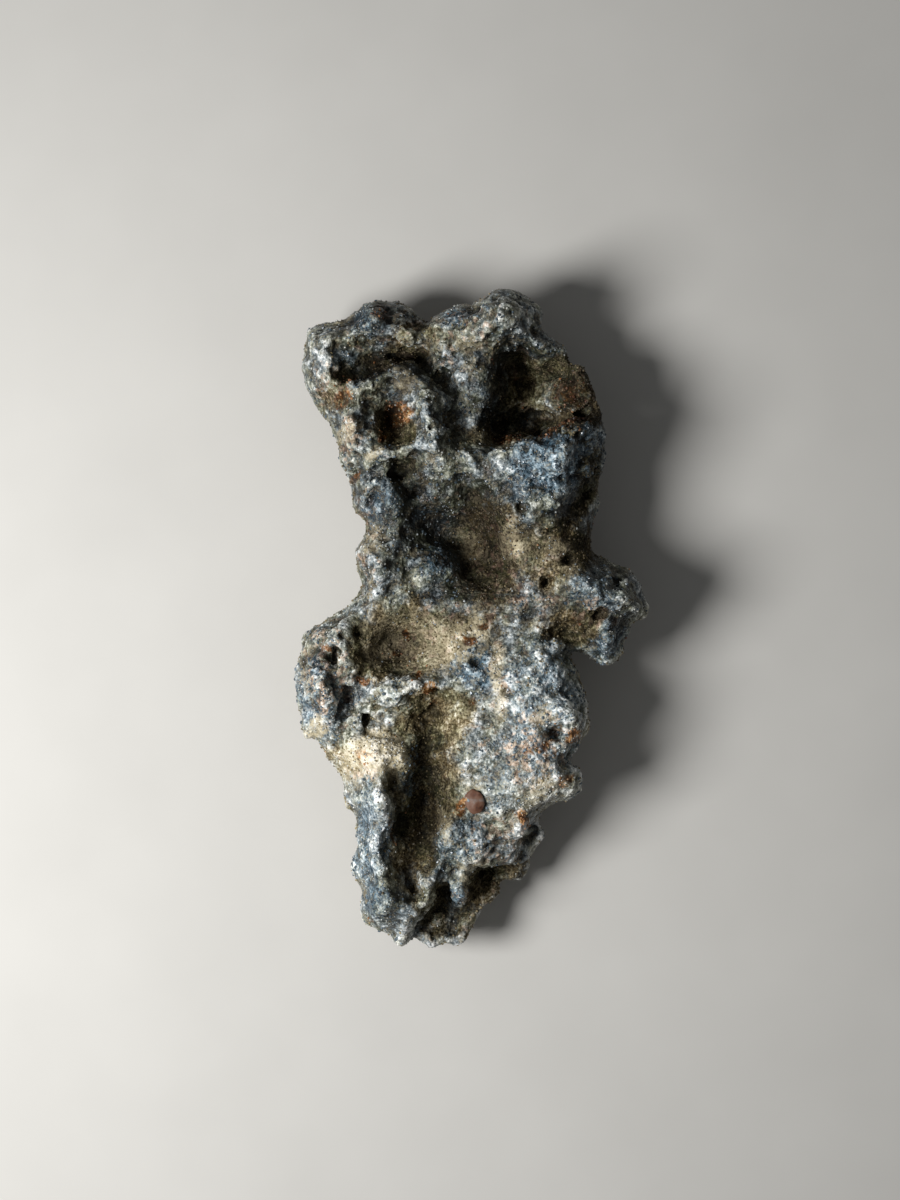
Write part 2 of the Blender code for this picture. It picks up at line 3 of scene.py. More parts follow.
import bpy
import numpy as np
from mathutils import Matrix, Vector


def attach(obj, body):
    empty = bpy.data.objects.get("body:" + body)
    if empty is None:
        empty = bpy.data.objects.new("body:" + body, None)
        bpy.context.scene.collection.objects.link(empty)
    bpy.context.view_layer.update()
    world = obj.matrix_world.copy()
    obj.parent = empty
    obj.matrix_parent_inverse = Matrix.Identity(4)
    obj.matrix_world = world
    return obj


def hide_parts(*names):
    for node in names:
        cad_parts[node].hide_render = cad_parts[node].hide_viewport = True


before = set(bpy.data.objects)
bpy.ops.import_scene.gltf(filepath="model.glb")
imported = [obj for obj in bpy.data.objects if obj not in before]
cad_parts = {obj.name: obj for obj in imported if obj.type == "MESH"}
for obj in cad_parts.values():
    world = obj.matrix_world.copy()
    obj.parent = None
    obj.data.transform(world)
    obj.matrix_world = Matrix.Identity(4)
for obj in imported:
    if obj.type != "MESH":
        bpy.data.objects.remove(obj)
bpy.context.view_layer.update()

mm = 0.001  # every length below is in mm
hashPrimes = (374761393, 668265263, 1442695041, 974634777)


def smooth(t):
    # 0 up to 1 with level ends: 3t^2 - 2t^3
    t = np.clip(t, 0, 1)
    return t * t * (3 - 2 * t)


def chance(column, row, layer, seed):
    # a fixed number from 0 to 1 for each whole-number place
    bits = sum(number * prime for number, prime in zip((column, row, layer, seed), hashPrimes)) & 0xFFFFFFFF
    bits = ((bits ^ (bits >> 13)) * 1274126177) & 0xFFFFFFFF
    return ((bits ^ (bits >> 16)) & 0xFFFF) / 65535


def noise(x, y, z, size, seed):
    # bumps from -1 to 1, size apart: the cell's eight corner numbers, blended smoothly
    place = np.stack(np.broadcast_arrays(x, y, z)) / size
    cell = np.floor(place).astype(np.int64)
    part = smooth(place - cell)
    total = 0
    for corner in np.ndindex(2, 2, 2):
        corner = np.reshape(corner, (3,) + (1,) * x.ndim)
        weight = np.prod(np.where(corner, part, 1 - part), axis=0)
        total = total + weight * chance(*(cell + corner), seed)
    return 2 * total - 1


def cellPoints(x, y, z, size, seed):
    # the 27 cells round each place, with the squared distance to each one's own point
    place = np.stack([x, y, z]) / size
    cell = np.floor(place).astype(np.int64)
    for offset in np.ndindex(3, 3, 3):
        near = cell + np.reshape(offset, (3, 1)) - 1
        middle = np.stack([near[axis] + chance(*near, seed + axis) for axis in range(3)])
        yield near, np.sum((middle - place) ** 2, axis=0)


def beads(x, y, z, size, seed):
    # round bumps side by side: 1 less the square of the distance to the nearest cell's point
    return np.clip(1 - np.min([apart for near, apart in cellPoints(x, y, z, size, seed)], axis=0), 0, 1)


def pricks(x, y, z, size, radius, portion, seed):
    # small round holes: a portion of the cells has one, 1 at its middle and 0 at its radius
    deepest = np.zeros(x.shape)
    for near, apart in cellPoints(x, y, z, size, seed):
        wide = 0.5 + 0.7 * chance(*near, seed + 4)
        hole = smooth(1.6 * (1 - np.sqrt(apart) * size / radius / wide))
        deepest = np.maximum(deepest, np.where(chance(*near, seed + 3) < portion, hole, 0))
    return deepest


def rounded(corners, steps):
    # a closed curve through the corners: cubic Beziers with handles a third of each side long
    here = np.array(corners, float)
    after = np.roll(here, -1, axis=0)
    along = after - np.roll(here, 1, axis=0)
    along /= np.linalg.norm(along, axis=1)[:, None]
    third = np.linalg.norm(after - here, axis=1)[:, None] / 3
    leave = here + along * third
    arrive = after - np.roll(along, -1, axis=0) * third
    t = np.arange(steps)[:, None] / steps
    here, leave, arrive, after = (points[:, None, :] for points in (here, leave, arrive, after))
    curve = (1 - t) ** 3 * here + 3 * (1 - t) ** 2 * t * leave + 3 * (1 - t) * t**2 * arrive + t**3 * after
    return curve.reshape(-1, 2)


def onSegment(x, y, start, end):
    # the nearest point of a straight stretch, and how far it is
    dx, dy = end[0] - start[0], end[1] - start[1]
    t = np.clip(((x - start[0]) * dx + (y - start[1]) * dy) / (dx * dx + dy * dy), 0, 1)
    nearX, nearY = start[0] + t * dx, start[1] + t * dy
    return nearX, nearY, np.hypot(x - nearX, y - nearY)


def fromLine(x, y, points):
    # the distance to the nearest stretch of an open line
    return np.min([onSegment(x, y, start, end)[2] for start, end in zip(points, points[1:])], axis=0)


def depthIn(x, y, loop):
    # how far inside a closed line each point is, less than 0 outside, and the line's nearest point
    nearest = np.full(x.shape, np.inf)
    rimX, rimY = np.zeros(x.shape), np.zeros(x.shape)
    inside = np.zeros(x.shape, bool)
    for start, end in zip(loop, np.roll(loop, -1, axis=0)):
        nearX, nearY, apart = onSegment(x, y, start, end)
        closer = apart < nearest
        nearest = np.where(closer, apart, nearest)
        rimX, rimY = np.where(closer, nearX, rimX), np.where(closer, nearY, rimY)
        if start[1] != end[1]:
            slope = (end[0] - start[0]) / (end[1] - start[1])
            inside ^= ((start[1] > y) != (end[1] > y)) & (x < start[0] + slope * (y - start[1]))
    return np.where(inside, nearest, -nearest), rimX, rimY


def inEllipse(x, y, centreX, centreY, halfWidth, halfLength, turn=0):
    # 0 at an ellipse's middle and 1 at its edge
    angle = math.radians(turn)
    dx, dy = x - centreX, y - centreY
    across = dx * math.cos(angle) + dy * math.sin(angle)
    along = dy * math.cos(angle) - dx * math.sin(angle)
    return np.hypot(across / halfWidth, along / halfLength)


def raisedBy(x, y, table):
    # the sum of round lumps: height times (1 - q^2)^1.5, where q is 1 at the lump's edge
    return sum(height * np.clip(1 - inEllipse(x, y, *ellipse) ** 2, 0, 1) ** 1.5
               for height, *ellipse in table.values())


def sunkBy(x, y, table):
    # the sum of hollows: depth times a smooth wall that takes the given share of the way in
    return sum(depth * smooth((1 - inEllipse(x, y, *ellipse)) / wall)
               for depth, wall, *ellipse in table.values())


# the lump's outline and forms, as in the part that it dresses
outline = [  # clockwise from the top left corner, in mm
    (-19.9, 34.4), (-16.6, 35.4), (-13.5, 36.7), (-12.2, 38), (-8.5, 38.1), (-7.1, 37.3), (-6.4, 36.1),
    (-5.3, 35.3), (-1.5, 37.5), (-0.2, 37.5), (2.8, 39.1), (4.7, 39.5), (8.1, 36.9), (8.3, 34.7),
    (11.3, 32.2), (11.6, 30.7), (13.3, 30.3), (16.1, 22.4), (15.1, 15.5), (15.3, 13.1), (14.2, 9.4),
    (14.9, 8), (19.5, 5.6), (20.9, 1.7), (20.6, 0.5), (19, -0.3), (18.9, -1.7), (18.2, -2.7), (18.1, -3.9),
    (17.2, -5), (16, -5.5), (13.7, -3.9), (12.4, -3.7), (11.8, -4.1), (14.1, -11.3), (13.1, -14.5),
    (11.9, -16.9), (12.7, -17.8), (13.3, -19.5), (12.7, -20.6), (8.6, -23.1), (8.5, -24.2), (9.1, -25.5),
    (8.6, -26.8), (7.4, -28.1), (6.7, -29.5), (6.5, -30.8), (5.7, -31.5), (3.5, -31.5), (3.1, -33.1),
    (1.7, -34.6), (1, -36.1), (-0.1, -36.9), (-0.4, -38.2), (-1.7, -39.2), (-3.2, -38.9), (-4.9, -39.5),
    (-5.7, -38.5), (-7.1, -38.2), (-7.9, -39.1), (-8.8, -39.1), (-9.8, -37.7), (-11.3, -37.5),
    (-12.8, -36.8), (-13.3, -35.1), (-13.3, -32.8), (-14.2, -30.2), (-13.5, -25.5), (-13.5, -23),
    (-14.6, -22.5), (-15.1, -19.4), (-17.9, -15.9), (-18.5, -14.2), (-19.9, -14.1), (-20.2, -11.1),
    (-20.9, -8.5), (-20.8, -5), (-19.7, -2), (-17.5, 0.1), (-13.3, 3.3), (-13.6, 7.7), (-12.5, 10),
    (-12.5, 11.6), (-13.9, 13.5), (-14.5, 17), (-15.7, 19.4), (-16.3, 21.8), (-19.4, 27.3),
]
steps = dict(  # changes of level: (height, width of the slope at the edge, outline)
    blueShelf=(2.8, 0.8, [
        (-1.1, 20.1), (1.3, 19.6), (3.4, 20.3), (6.1, 21.1), (8.3, 21.4), (9.5, 22.5), (11.3, 23.2),
        (13.4, 23.3), (15.4, 22), (15.8, 20.3), (14.2, 17.5), (12.3, 15.1), (11.2, 14.6), (10.1, 12.9),
        (8.8, 12.9), (7.3, 11.3), (4.4, 11.2), (3.1, 13.4), (2.2, 15.3), (0.3, 16.5),
    ]),
    greatPit=(-6.6, 1.5, [
        (3.2, 31.7), (4.6, 33.2), (6.4, 33.4), (9.2, 32.2), (11.3, 30.3), (13.3, 27.9), (14.2, 25.4),
        (14, 23.6), (11.3, 23.2), (9.5, 22.6), (8.3, 21.6), (6.1, 21.2), (3.4, 20.4), (1.9, 21.5),
        (2.2, 24), (3, 27), (2.9, 29.6),
    ]),
    pitCliff=(-2.8, 0.8, [
        (2.6, 20.5), (4.5, 21.5), (6.3, 21.8), (8.2, 22.2), (9.4, 23.2), (11.2, 23.8), (13, 23.8),
        (12.4, 25.2), (10.4, 25.8), (8, 25.4), (5, 24.9), (2.5, 24.1),
    ]),
    cave=(-2.8, 1.2, [
        (-13.4, 28.6), (-12.8, 30.2), (-11.6, 31.9), (-10.2, 31.8), (-8.3, 32.7), (-6.2, 31.7),
        (-4.2, 30.6), (-5.3, 29.5), (-7.2, 30.2), (-9.3, 30.1), (-11.3, 29.2), (-12.6, 28),
    ]),
    underLayer=(-5.4, 0.8, [
        (12.4, -21.2), (10.1, -21.7), (8.8, -22), (7.9, -23.5), (7.4, -25.3), (6.5, -27.9), (4, -29.3),
        (1.7, -29.8), (0.2, -31), (-0.5, -32.5), (-0.8, -34.3), (-1.9, -35), (-2.7, -33.7), (-2.9, -32.2),
        (-3.7, -32.8), (-4.7, -34.6), (-6.2, -36.3), (-7.4, -37.7), (-8.1, -39.9), (1, -40.9),
        (10.6, -33.7), (15.4, -21.7),
    ]),
)
lumps = dict(  # (height, x, y, half width, half length, and where it isn't 0, turn in degrees)
    topLeftCorner=(2.2, -17.9, 32.1, 3.4, 4.3, 20), topLeftEdge=(1.6, -15.2, 34, 3.4, 2.2, -20),
    topLeftKnob=(3, -11.9, 35.6, 3.3, 2.7, 15), greenBoss=(2.2, -7.8, 33.9, 2.7, 2.1, -20),
    leftCheek=(1.6, -17, 28.1, 2.2, 2.6), topRightBlock=(4.6, 2.5, 36, 6.8, 4.2, -12),
    topRightFoot=(2.4, -2.6, 33.4, 3.6, 3.4), saddleSand=(1.2, -3.8, 30.4, 2.2, 2.2),
    pitColumn=(1.6, 0.8, 27.3, 3, 5.8, 4), pitBoulder=(4.4, 8.6, 31.9, 2.8, 2.4),
    pitWall=(3.4, 12.4, 26.6, 2.9, 4.6, 18), ringShoulder=(2.4, -5.2, 23.9, 2.6, 5.2),
    creamBead=(2, -14.6, 22.5, 1.8, 1.9), leftBead=(1.2, -14.3, 20.1, 1.9, 1.4),
    columnUpper=(1.8, -12.7, 15.3, 2.3, 5.4), columnLower=(2.4, -11.3, 7.1, 2.9, 5.6),
    columnInner=(1.6, -9.5, 14.3, 2, 3.8), plateau=(2.4, -2.6, 18.7, 4.3, 3.1),
    middleBoss=(3.2, -4.1, 6.4, 3.3, 2.9), middleBossTip=(1, -2.5, 7.1, 1.4, 1.4),
    shelfCrown=(2.6, 10.1, 19.6, 5, 3.1, 28), shelfLeft=(1.4, 4.9, 17.9, 3.1, 3.3),
    shelfLow=(1.4, 7, 13.7, 4, 2.4, 20), shelfFoot=(1.3, 10, 11.8, 3.6, 2.4, 32),
    shelfApron=(1, 8, 10.3, 3.8, 1.7, 31), valleyRib=(1.6, 5, 10.1, 1.7, 4.3, 10),
    rightShoulder=(1.4, 10.6, 8.9, 5.3, 4.8), knob=(2.2, 15, 3.1, 5.6, 4.6),
    knobRidge=(1.6, 18.3, 2.8, 2, 3.6, 10), knobLow=(1.8, 16.1, -2.2, 3, 3.4),
    knobTop=(1.2, 12.8, 4.7, 2.8, 2.6), lobeRim=(2.8, -18.2, -8.5, 2.9, 7.4, 8),
    lobeTop=(2.2, -15.8, -1, 3.8, 2.6, 40), lobeInner=(1.6, -14.9, -5.1, 1.5, 4.8),
    divide=(2.2, -7.4, -7.7, 6.9, 2, 4), bluePatch=(0.8, 0.5, -5.8, 3.1, 3.3),
    rightSwell=(2.4, 6, -8.5, 8, 7.6), rightSwellLow=(2.2, 5, -19.3, 8, 7.6),
    edgeBeadA=(1.6, 12.1, -10.4, 2.1, 2.4), edgeBeadB=(1.6, 11.3, -14.7, 2.1, 1.9),
    edgeBeadC=(1.8, 11.3, -18.8, 2.4, 2.4), edgeBeadD=(1.8, 7.3, -25.3, 2.1, 2.1),
    creamLedge=(2.8, -10.7, -16.3, 4.2, 2.8, -10), thumb=(4, -11.6, -23.1, 3.4, 5.7),
    thumbEdge=(1.4, -9.9, -20.2, 1.8, 4.2, 5), thumbLow=(3.4, -11.6, -29.6, 3.2, 5.2),
    heel=(3.4, -10.3, -34.2, 4, 3.2, -10), tongueRoot=(1.6, -7.2, -15.8, 2.2, 2.4),
    rustPebble=(1.8, -0.1, -22, 1.9, 1.4), lowerSwell=(1.8, -0.2, -26.5, 4.3, 3.1, -20),
    drip=(2.4, -1.7, -33.2, 1.2, 2), underA=(2, -4.7, -37.5, 2.7, 2), underB=(1.4, -1.1, -36.7, 2.3, 2.3),
    underC=(1.8, 2, -32.7, 2, 2.3), underD=(2.2, 5.1, -30.3, 2, 1.3), underE=(1.6, -8.1, -38, 1.4, 1.6),
)
ridges = dict(  # rounded ridges along a line: (half width, height, points)
    rustRing=(1.5, 3, [
        (-13.6, 20.8), (-14, 24), (-13.3, 26.6), (-11.7, 28.1), (-9.2, 29), (-6.6, 28.8), (-4.8, 27),
        (-4.1, 24), (-4.4, 20.9),
    ]),
    ringFoot=(1, 2.4, [(-11.4, 20.2), (-9, 19.9), (-6.5, 20.3)]),
    shelfEdge=(0.9, 1.3, [
        (-0.4, 19.6), (3.4, 19.9), (6.1, 20.5), (8.8, 21.1), (10.9, 22.4), (13.3, 22.7),
    ]),
    waist=(1.4, 0.8, [(-13.1, 2.3), (-8.6, 2), (-2.6, 1.9), (3.4, 1.6), (8.8, 2.3)]),
    tongueRib=(0.9, 2.5, [(-7.6, -16.8), (-7.2, -18.6), (-7.1, -20.6), (-7.6, -22.4)]),
    holeRight=(0.4, 0.9, [(-8.1, 25.8), (-7.1, 24.9), (-6.5, 22.9), (-6.4, 21.6)]),
    bubbleRim=(0.35, 0.7, [
        (-12.8, 15.7), (-13, 13.6), (-12, 12.2), (-10.9, 12.9), (-10.9, 15.3), (-11.7, 16.2),
        (-12.8, 15.7),
    ]),
    lensRim=(0.3, 0.5, [(-20, -5.5), (-18.9, -4.5), (-17.2, -4.6), (-16.8, -5.4)]),
    holeLeft=(0.4, 0.9, [(-11.9, 26.8), (-11.5, 24.2), (-11.5, 21.5)]),
    grooveLip=(1, 2, [
        (-2.3, -24.3), (-3.3, -27.7), (-4.3, -31), (-5.5, -33.7), (-7.4, -35.8), (-8.1, -37.5),
    ]),
)
hollows = dict(  # (depth, share taken by the wall, and the rest as above)
    slot=(2.4, 0.9, -8.4, 31.3, 3.8, 1.5, -4), cheekDip=(1.6, 1, -14.6, 29.4, 2.4, 2.2),
    notch=(1.8, 0.9, -3.4, 28.9, 2, 1.3, 20), pitDeep=(2.2, 1, 6.4, 27.6, 3.2, 5.3, 4),
    pitLeft=(1.6, 1, 2.6, 23, 2.6, 2.2), pitGap=(5, 0.6, 14.3, 23.9, 1.3, 1.8, -25),
    rustHole=(2.2, 0.5, -9.1, 23.2, 2.1, 2.7, 6), pocket=(1.8, 0.9, -7.9, 17.5, 2.6, 2.3, 12),
    pocketTail=(2, 0.9, -6.2, 15.3, 2, 1.6), valley=(5.4, 1, -1.1, 8.9, 7.9, 7.6),
    valleyHead=(1.6, 0.9, -5.4, 12, 3.4, 5, -10), shelfBack=(2.2, 1, 13.5, 15.1, 2.6, 5, -18),
    knobHollow=(2.4, 0.8, 17.1, 4.7, 1.3, 1.8), knobSaddle=(2, 0.9, 14.7, 0.9, 2.4, 1.4, 25),
    neck=(2.6, 1, 10.9, -1.5, 2.8, 2.1), neckLeft=(1.2, 0.9, 7, 0.7, 1.6, 1.3),
    bowl=(3.6, 1, -7.9, -3.2, 7.2, 4.6, -4), bowlLeft=(0.6, 1, -11.7, -4.9, 2.8, 3.3),
    grooveTop=(2.8, 1, -3.8, -12.3, 4, 4), groove=(5.4, 1, -5.5, -21.7, 4.5, 10.4, 4),
    grooveWall=(2.2, 0.8, -8.6, -22.4, 1.3, 6.4, 4), grooveLow=(1.8, 0.9, -7.9, -29.6, 3, 2.8, -10),
    grooveMid=(1.4, 0.9, -7.2, -26.6, 2.4, 4.6, 8), grooveEnd=(2, 0.9, -6.9, -32.5, 1.9, 2.8, 25),
    thumbBack=(1, 1, -10.2, -27.7, 1.2, 3.1), lobeBack=(1.6, 1, -15.1, -10.6, 2, 4.4),
    lowPit=(2.4, 0.8, -12.1, -12.3, 1.4, 1.3), rightCrease=(1.4, 1, 4.3, -8.5, 1.9, 1.6, -20),
    edgeHole=(2.8, 0.8, 9.9, -13.7, 1.5, 1.3), dripPit=(2.6, 0.8, -3.2, -33.1, 1.1, 1.3),
    recess=(2.8, 0.8, 1.5, -31, 2.4, 1.3, -20),
)
smallHoles = dict(  # burst bubbles
    cellA=(1.4, 0.7, -12.8, 25.3, 0.7, 1.2, 10), cellB=(1.2, 0.7, -13.1, 22.7, 0.6, 1.1),
    cellC=(1.2, 0.7, -11.9, 20.6, 0.8, 0.7), shelfSlope=(1, 1, 7.1, 13.5, 3.6, 1.7, 31),
    bubbleA=(2.8, 0.5, -11.8, 14.2, 0.85, 1.7), bubbleB=(2, 0.5, -10.4, 13.6, 0.5, 1.1),
    bubbleC=(1.1, 0.6, -9.5, 13.6, 0.5, 0.6), bubbleD=(1.8, 0.5, -11.7, 11.5, 0.8, 0.5),
    bubbleE=(1.1, 0.6, -11, 10.9, 0.6, 0.5), bubbleF=(1.8, 0.5, -11.7, 17.4, 0.7, 1),
    blackHoleA=(5.4, 0.4, 9.4, 4.6, 1.15, 0.7, 5), blackHoleB=(5.4, 0.4, 11.9, 6.9, 1.15, 0.7, 20),
    lobeA=(3.2, 0.5, -14.8, -1.7, 1.1, 0.6, -20), lobeB=(2.6, 0.5, -13.3, -1.1, 0.7, 0.6),
    lobeC=(2.6, 0.4, -18.4, -5.4, 1.6, 0.8, -6), lobeD=(1.4, 0.7, -15.1, -6.3, 1.1, 0.9),
    blueHole=(3.6, 0.4, 0.7, -5, 0.8, 0.65, -40), lowLeft=(1.3, 0.7, -15.5, -15.2, 1.1, 1),
    edgeSide=(1.8, 0.7, 11, -13.6, 0.6, 0.7), rightPrick=(1.6, 0.7, 2.7, -13.6, 0.45, 0.45),
    dripHole=(1.3, 0.6, -1.5, -32.2, 0.45, 0.45), lowPrick=(1.1, 0.7, -0.5, -26.7, 0.7, 0.7),
)
pores = dict(  # round ones: (depth, x, y, radius)
    A=(1.4, -7.1, -1.5, 0.6), B=(1.4, -9.4, -4.4, 0.6), C=(1.4, -12.9, -6.9, 0.6),
    D=(1.3, -2.8, -1.6, 0.5), E=(1.3, -2.7, -4.7, 0.5), F=(1.4, -4.6, -8, 0.6), G=(1.3, -6.2, -6.5, 0.5),
    H=(1.4, -11, 1.3, 0.6), I=(1.4, -0.4, -2.8, 0.7), J=(1.3, 7, 0.7, 0.5), K=(1.4, 2.6, 30.8, 0.6),
    L=(1.4, -7.6, 9.5, 0.5), M=(1.4, -15.7, 31.4, 0.6), N=(1.2, 11, 11.9, 0.4),
)
for name, (depth, x, y, radius) in pores.items():
    smallHoles["pore" + name] = (depth, 0.8, x, y, radius, radius)

feet = dict(  # where the back reaches the floor: ellipses alone
    topLeft=(-9.5, 29, 7, 5.6, 20), topRight=(8, 25, 5.8, 7), left=(-12.5, -9, 6.4, 7.4, 10),
    middle=(-0.5, 1.5, 6, 6), right=(7, -13.5, 5.6, 6.6), low=(-6.5, -30, 5.6, 6),
)
backLumps = dict(
    ridge=(1.8, -6, 16, 2.4, 8, 12), beadA=(2.2, 3, 35, 3.6, 2.2, -15), beadB=(2, -15.6, 22, 2.2, 3.4, 10),
    beadC=(2.2, 11.5, 12, 2.6, 4.4), beadD=(2.8, 15.5, 0.5, 3.2, 3.8, 20),
    beadE=(1.8, -17, -4, 2.2, 4, 10), beadF=(2, 1.5, -26, 3.2, 3.6, 30), beadG=(1.4, -1, -20, 2.4, 3.2),
)
backHollows = dict(
    groove=(3, 1, 1, 14, 2.6, 9, 10), dish=(2.6, 1, -3, -3.5, 6, 3.4, -10),
    pitA=(2.6, 0.8, -12, 14, 1.9, 2.6), pitB=(2.6, 0.8, 9.5, 3.5, 2.2, 1.7),
    pitC=(2.4, 0.9, -4.5, -18, 2.2, 3.4, 20), pitD=(2.2, 0.9, 0, 30, 3, 2.2),
    pitE=(2, 0.8, 7.5, -22.5, 1.8, 2.4, -20), pitF=(2, 0.9, -12.5, -20, 1.7, 2.8),
)
lump = dict(
    rimHeight=8.6, rimSway=1.7, rimSwaySize=15, tipDrop=2, frontRise=5.4, frontReach=5, rightReach=3,
    backDepth=5.6, backReach=8, footBelow=0.6, footCurve=6.5, footBlend=4, thinnest=0.8, wander=0.8,
    sideCarve=2.2, sideCarveSize=4.5, frontCarve=0.35, gridStep=0.32, firstVoxel=0.34, lastVoxel=0.342,
    # the crust, from the widest swells to the grit: how far apart, and how high or deep
    swellSize=4.2, swellHeight=0.45, noduleSize=3, noduleHeight=0.75, beadSize=1.5, beadHeight=0.3,
    knobSize=2.1, knobHeight=0.9, knotSize=1.05, knotHeight=0.5, crinkleSize=0.95, crinkle=0.5,
    gritSize=0.45, gritHeight=0.08, blisterDepth=1.1, prickDepth=0.6,
    blister=(3.2, 0.85, 0.5), prick=(1.9, 0.42, 0.4),  # how far apart, radius, portion of places
)
rim = rounded(outline, 4)

smoothPlaces = dict(  # as the lumps, with a strength for the height
    bowl=(1, -6.4, -2.4, 8.4, 5, -4), groove=(1, -5.4, -20.5, 4.4, 12, 2), valley=(0.9, 1.5, 7.6, 5.4, 8),
    shoulder=(0.8, 10.4, 8.6, 5, 4.6), plain=(0.55, 4.4, -12, 7.4, 11), rustHole=(1, -8.8, 23.3, 2.2, 2.8),
    waist=(0.7, 0, 1.6, 10, 2.6), pebble=(1, -0.1, -22, 2.4, 2), thumb=(0.8, -12, -24, 2.8, 7),
    heel=(0.6, -10.3, -34.2, 3.6, 2.8), ledge=(1, -12.6, -16, 4.6, 3, -10),
)
roughPlaces = dict(
    shelf=(1, 9, 18, 7.4, 5.4, 28), column=(1, -12, 15, 3.4, 9), lobe=(1, -17, -5, 3.6, 7),
    top=(0.8, -12, 34, 8, 5, -10), topRight=(0.8, 3, 35.6, 8, 4, -10), ring=(0.7, -9, 24, 6.4, 6.4),
    edge=(0.6, 11.4, -14, 3, 8), under=(1, 2, -33, 8, 6, 30), divide=(0.7, -8, -8, 7, 2.2, 4),
    knobEdge=(0.8, 18.4, 1, 3, 7),
)

def strayed(x, y, seed):
    # the same places moved by soft noise, so that no form keeps a plain edge
    return [axis + lump["wander"] * (noise(x, y, 0, 5, first) + 0.5 * noise(x, y, 0, 2, first + 1))
            for axis, first in ((x, seed), (y, seed + 2))]


def dome(depth, reach):
    # a quarter circle: 0 at the rim, 1 from reach inwards
    return np.sqrt(1 - (1 - np.clip(depth / reach, 0, 1)) ** 2)


def rimHeight(x, y):
    # level between front and back: it sways round the lump and drops to the narrow end
    sway = noise(x, y, 0, lump["rimSwaySize"], 41) + 0.5 * noise(x, y, 0, 7, 42)
    return lump["rimHeight"] + lump["rimSway"] * sway - lump["tipDrop"] * smooth((-24 - y) / 16)


def reliefOn(x, y):
    # lumps + ridges + steps - hollows, each a sum over its own table, at strayed places
    x2, y2 = strayed(x, y, 1)
    relief = raisedBy(x2, y2, lumps) - sunkBy(x2, y2, hollows) - sunkBy(x2, y2, smallHoles)
    for height, slope, corners in steps.values():
        relief += height * smooth(0.5 + depthIn(x2, y2, rounded(corners, 3))[0] / slope / 2)
    for halfWidth, height, points in ridges.values():
        relief += height * np.exp(-((fromLine(x2, y2, points) / halfWidth) ** 2))
    return relief


def frontHeight(x, y, depth):
    # rim height + quarter-circle dome + relief, the relief faded out at the rim
    steep = smooth((x - 3) / 5.5) * smooth((6 - y) / 5.5)  # the lower right side is steeper
    reach = lump["frontReach"] + (lump["rightReach"] - lump["frontReach"]) * steep
    return rimHeight(x, y) + lump["frontRise"] * dome(depth, reach) + smooth(depth / 1.5) * reliefOn(x, y)


def softerLower(a, b, blend):
    # the lower of two heights, with the crease between them rounded
    share = np.clip(0.5 + (b - a) / blend, 0, 1)
    return b + (a - b) * share - blend / 2 * share * (1 - share)


def backHeight(x, y, depth):
    # rim height - quarter-circle dome - lumps + hollows, and a bowl-shaped foot at each foot
    x2, y2 = strayed(x, y, 21)
    relief = raisedBy(x2, y2, backLumps) - sunkBy(x2, y2, backHollows)
    height = rimHeight(x, y) - lump["backDepth"] * dome(depth, lump["backReach"])
    height -= smooth(depth / 1.5) * relief
    for ellipse in feet.values():
        foot = lump["footCurve"] * inEllipse(x2, y2, *ellipse) ** 2 - lump["footBelow"]
        height = softerLower(height, foot, lump["footBlend"])
    return height


def sheetFaces(kept):
    # four corners for each cell of a grid of points that touches a kept one, wound to face up
    corner = np.arange(kept.size).reshape(kept.shape)
    quads = np.stack([corner[:-1, :-1], corner[1:, :-1], corner[1:, 1:], corner[:-1, 1:]], axis=-1)
    return quads[kept[:-1, :-1] | kept[1:, :-1] | kept[1:, 1:] | kept[:-1, 1:]]


def openEdges(quads):
    # the edges that only one face uses, in that face's own direction
    edges = np.concatenate([quads[:, [side, (side + 1) % 4]] for side in range(4)])
    order, first, uses = np.unique(np.sort(edges, axis=1), axis=0, return_index=True, return_counts=True)
    return edges[first[uses == 1]]


def lumpSheets():
    # a front and a back sheet over one (x, y) grid, and a strip that joins them at the rim;
    # points outside the outline sit on it
    low, high = rim.min(axis=0) - 0.5, rim.max(axis=0) + 0.5
    axes = [np.arange(low[axis], high[axis], lump["gridStep"]) for axis in range(2)]
    x, y = np.meshgrid(*axes, indexing="ij")
    depth, rimX, rimY = depthIn(x, y, rim)
    inside = depth > 0
    x, y, depth = np.where(inside, x, rimX), np.where(inside, y, rimY), np.clip(depth, 0, None)
    front = frontHeight(x, y, depth)
    back = np.minimum(backHeight(x, y, depth), front - lump["thinnest"])
    points = np.concatenate([np.stack([x, y, z], -1).reshape(-1, 3) for z in (front, back)])
    quads = sheetFaces(inside)
    a, b = openEdges(quads).T
    strip = np.stack([a, a + x.size, b + x.size, b], axis=-1)
    mesh = bpy.data.meshes.new("lumpSheets")
    mesh.from_pydata(points * mm, [], np.concatenate([quads, quads[:, ::-1] + x.size, strip]))
    return mesh


def linked(name, data):
    made = bpy.data.objects.new(name, data)
    bpy.context.scene.collection.objects.link(made)
    return made


def even(mesh, voxel):
    # the same surface remade from even voxels, as closed quads
    holder = linked("holder", mesh)
    remesh = holder.modifiers.new("Even mesh", "REMESH")
    remesh.mode = "VOXEL"
    remesh.voxel_size = voxel * mm
    remade = bpy.data.meshes.new_from_object(holder.evaluated_get(bpy.context.evaluated_depsgraph_get()))
    bpy.data.objects.remove(holder)
    return remade


def read(mesh, what="co"):
    # every vertex's place in mm, or its outward direction
    flat = np.empty(len(mesh.vertices) * 3)
    mesh.vertices.foreach_get(what, flat)
    return flat.reshape(-1, 3).T / (mm if what == "co" else 1)


def place(mesh, points):
    mesh.vertices.foreach_set("co", (points.T * mm).ravel())
    mesh.update()


